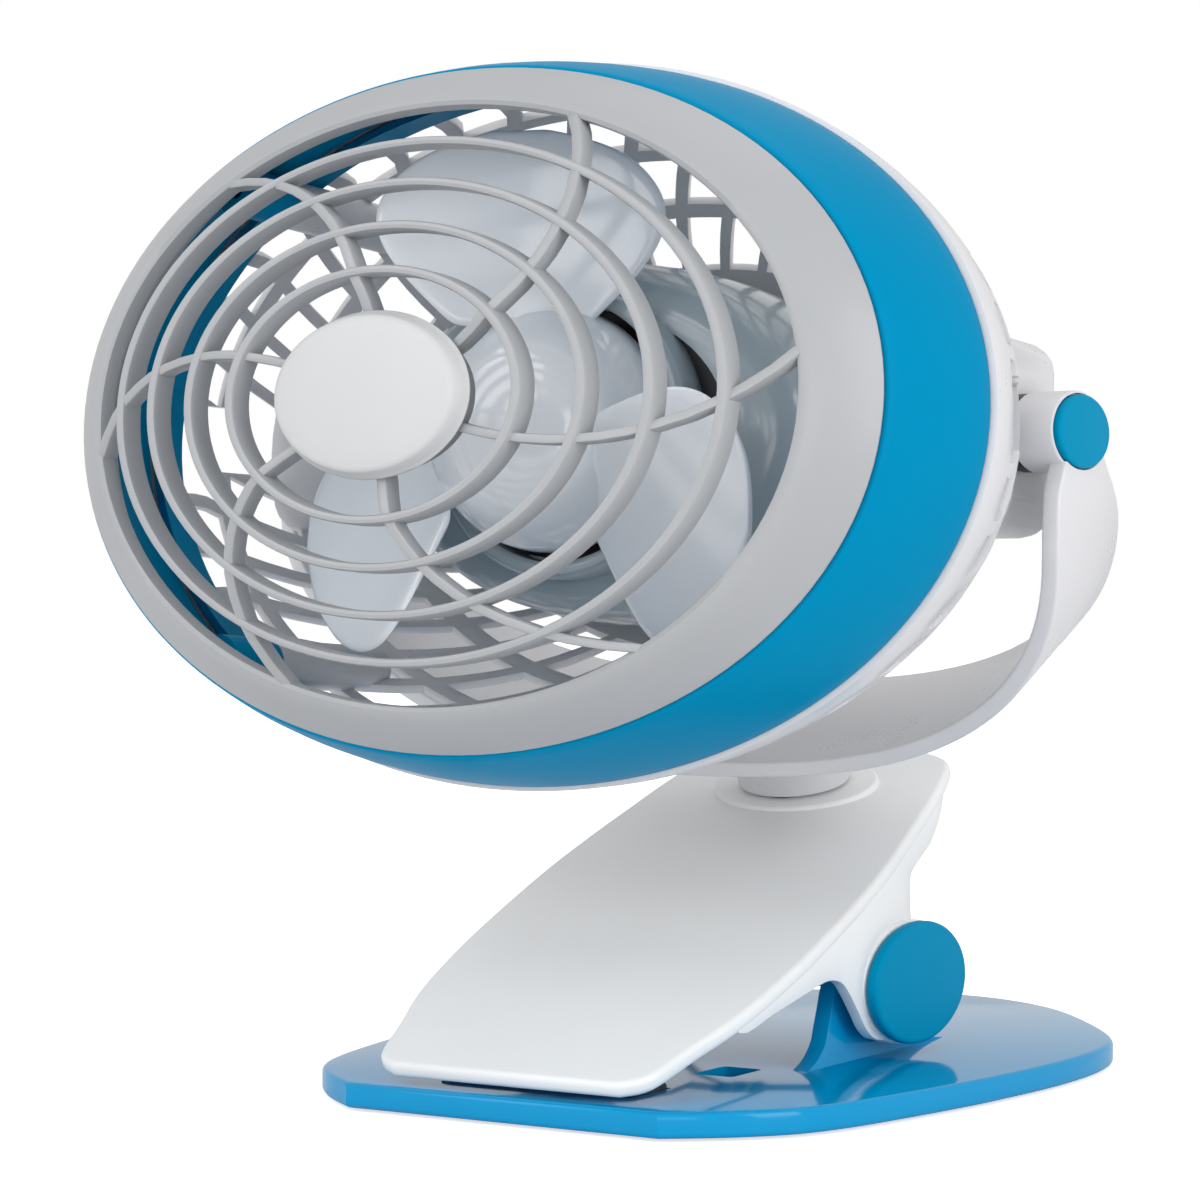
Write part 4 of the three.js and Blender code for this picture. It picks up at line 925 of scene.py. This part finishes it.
BASE_THICKNESS = 5.1
EAR_INSIDE, EAR_THICKNESS = 31.2, 3.7
SLOT_X, SLOT_HALF, SLOT_REAR, SLOT_FRONT = 21, 4.6, -4.6, -17.4
FEET_AT = ((30, -48), (-30, -48), (46, 72), (-46, 72))
PAD_RECESS = ((-23.3, -52.3, 5.2), (23.3, -35.7, 9))


def lower_jaw():
    """The plate with its slots and recesses, and the two ears that carry the hinge pin."""
    outline([(x, y, FEET) for x, y, _ in both_sides(rounded(BASE_EDGE, 6))])
    extrude_along((0, 0, BASE_THICKNESS))
    plate = soften(done(), 1.1, 4, 50)
    for side, _ in SIDES:
        low = (side * SLOT_X - SLOT_HALF, SLOT_FRONT, -5)
        high = (side * SLOT_X + SLOT_HALF, SLOT_REAR, 12)
        carve(plate, soften(block(low, high), 1.2, 3))
    for x, y in FEET_AT:
        carve(plate, round_bar(6.3, -2, 1.8, (x, y), "Z", sides=40))
    carve(plate, soften(block(*PAD_RECESS), 1.5, 3))
    pieces = [plate]
    for side, _ in SIDES:
        outline([(EAR_INSIDE, y, z + FEET) for y, z in rounded(EAR, 4)])
        extrude_along((EAR_THICKNESS, 0, 0))
        pieces.append(soften(mirrored(done(), side), 0.8, 3, 50))
    return finished(joined(*pieces), "jaw_base", "stand", BASE_BLUE, ["lower_jaw"])


# ---------------------------------------------------------------- carried-over CAD pieces
CARRIED = {
    STEEL: ["motor_can", "motor_shaft", "case_screw_1", "case_screw_2", "case_screw_3", "case_screw_4",
            "motor_screw_1", "motor_screw_2", "tilt_screw_left", "tilt_screw_right", "neck_washer",
            "neck_screw", "neck_nut", "hinge_pin", "hinge_spring", "hinge_washer_left",
            "hinge_washer_right"],
    BRASS: ["bearing_front", "bearing_rear", "tilt_nut_left", "tilt_nut_right"],
    COPPER: ["armature"],
    BLACK: ["motor_mount", "motor_end_cap", "switch_body", "dc_socket", "friction_ring"],
    RUBBER: ["upper_pad", "lower_pad", "foot_1", "foot_2", "foot_3", "foot_4"],
    CAP_BLUE: ["power_button"],
}


def finish_carried():
    for material, names in CARRIED.items():
        for name in names:
            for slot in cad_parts[name].material_slots:
                slot.material = material


# ---------------------------------------------------------------- studio
FLOOR_SIZE = 12
FLOOR_GLOW = (0.66, 0.66, 0.66)  # what the camera sees on top of the lit floor
ROOM_LIGHT = 0.72
LAMPS = {  # place and aim in metres, width and height in metres, watts
    "key": ((-0.6, -1.0, 0.7), (0, -0.02, 0.12), (0.8, 0.8), 5),
    "front": ((0.5, -1.3, 0.25), (0, -0.05, 0.1), (1.2, 0.5), 3.5),
    "side": ((1.3, -0.35, 0.45), (0, 0, 0.1), (0.6, 1.0), 7.5),
    "top": ((0.1, 0.3, 1.1), (0, 0, 0.1), (0.7, 0.7), 1),
}


def floor():
    """A plain pale floor that reads as white to the camera and keeps the fan's shadow."""
    bpy.ops.object.select_all(action="DESELECT")
    bpy.ops.mesh.primitive_plane_add(size=FLOOR_SIZE)
    ground = bpy.context.object
    ground.name = ground.data.name = "floor"
    pale = Finish("pale_floor", roughness=0.6, base_color=(0.82, 0.82, 0.83, 1), emission_strength=1)
    seen = pale.add("ShaderNodeLightPath", {}, {}, "Is Camera Ray")
    pale.feed("Emission Color", pale.between(seen, (0, 0, 0), FLOOR_GLOW))
    ground.data.materials.append(pale.material)


def lamp(name, place, aim, size, watts):
    light = bpy.data.lights.new(name, "AREA")
    light.shape, light.size, light.size_y = "RECTANGLE", *size
    light.energy = watts
    piece = bpy.data.objects.new(name, light)
    piece.location = place
    piece.rotation_euler = (Vector(aim) - Vector(place)).to_track_quat("-Z", "Y").to_euler()
    bpy.context.scene.collection.objects.link(piece)


def room():
    """An even white room, at full strength to the camera."""
    world = bpy.data.worlds.new("studio")
    bpy.context.scene.world = world
    world.use_nodes = True
    tree = world.node_tree
    backdrop = tree.nodes["Background"]
    path = tree.nodes.new("ShaderNodeLightPath")
    strength = tree.nodes.new("ShaderNodeMapRange")
    strength.inputs["To Min"].default_value = ROOM_LIGHT
    strength.inputs["To Max"].default_value = 1.0
    tree.links.new(path.outputs["Is Camera Ray"], strength.inputs["Value"])
    tree.links.new(strength.outputs["Result"], backdrop.inputs["Strength"])
    backdrop.inputs["Color"].default_value = (1, 1, 1, 1)


def studio():
    floor()
    room()
    for name, settings in LAMPS.items():
        lamp(name, *settings)
    bpy.context.scene.view_settings.view_transform = "Standard"


# ---------------------------------------------------------------- the fan
front_grille()
grille_cap()
centre_band()
rear_shell()
pivot_seats()
motor_pod()
fan_rotor()
yoke()
covers()
tilt_gaskets()
upper_jaw()
lower_jaw()
finish_carried()
studio()
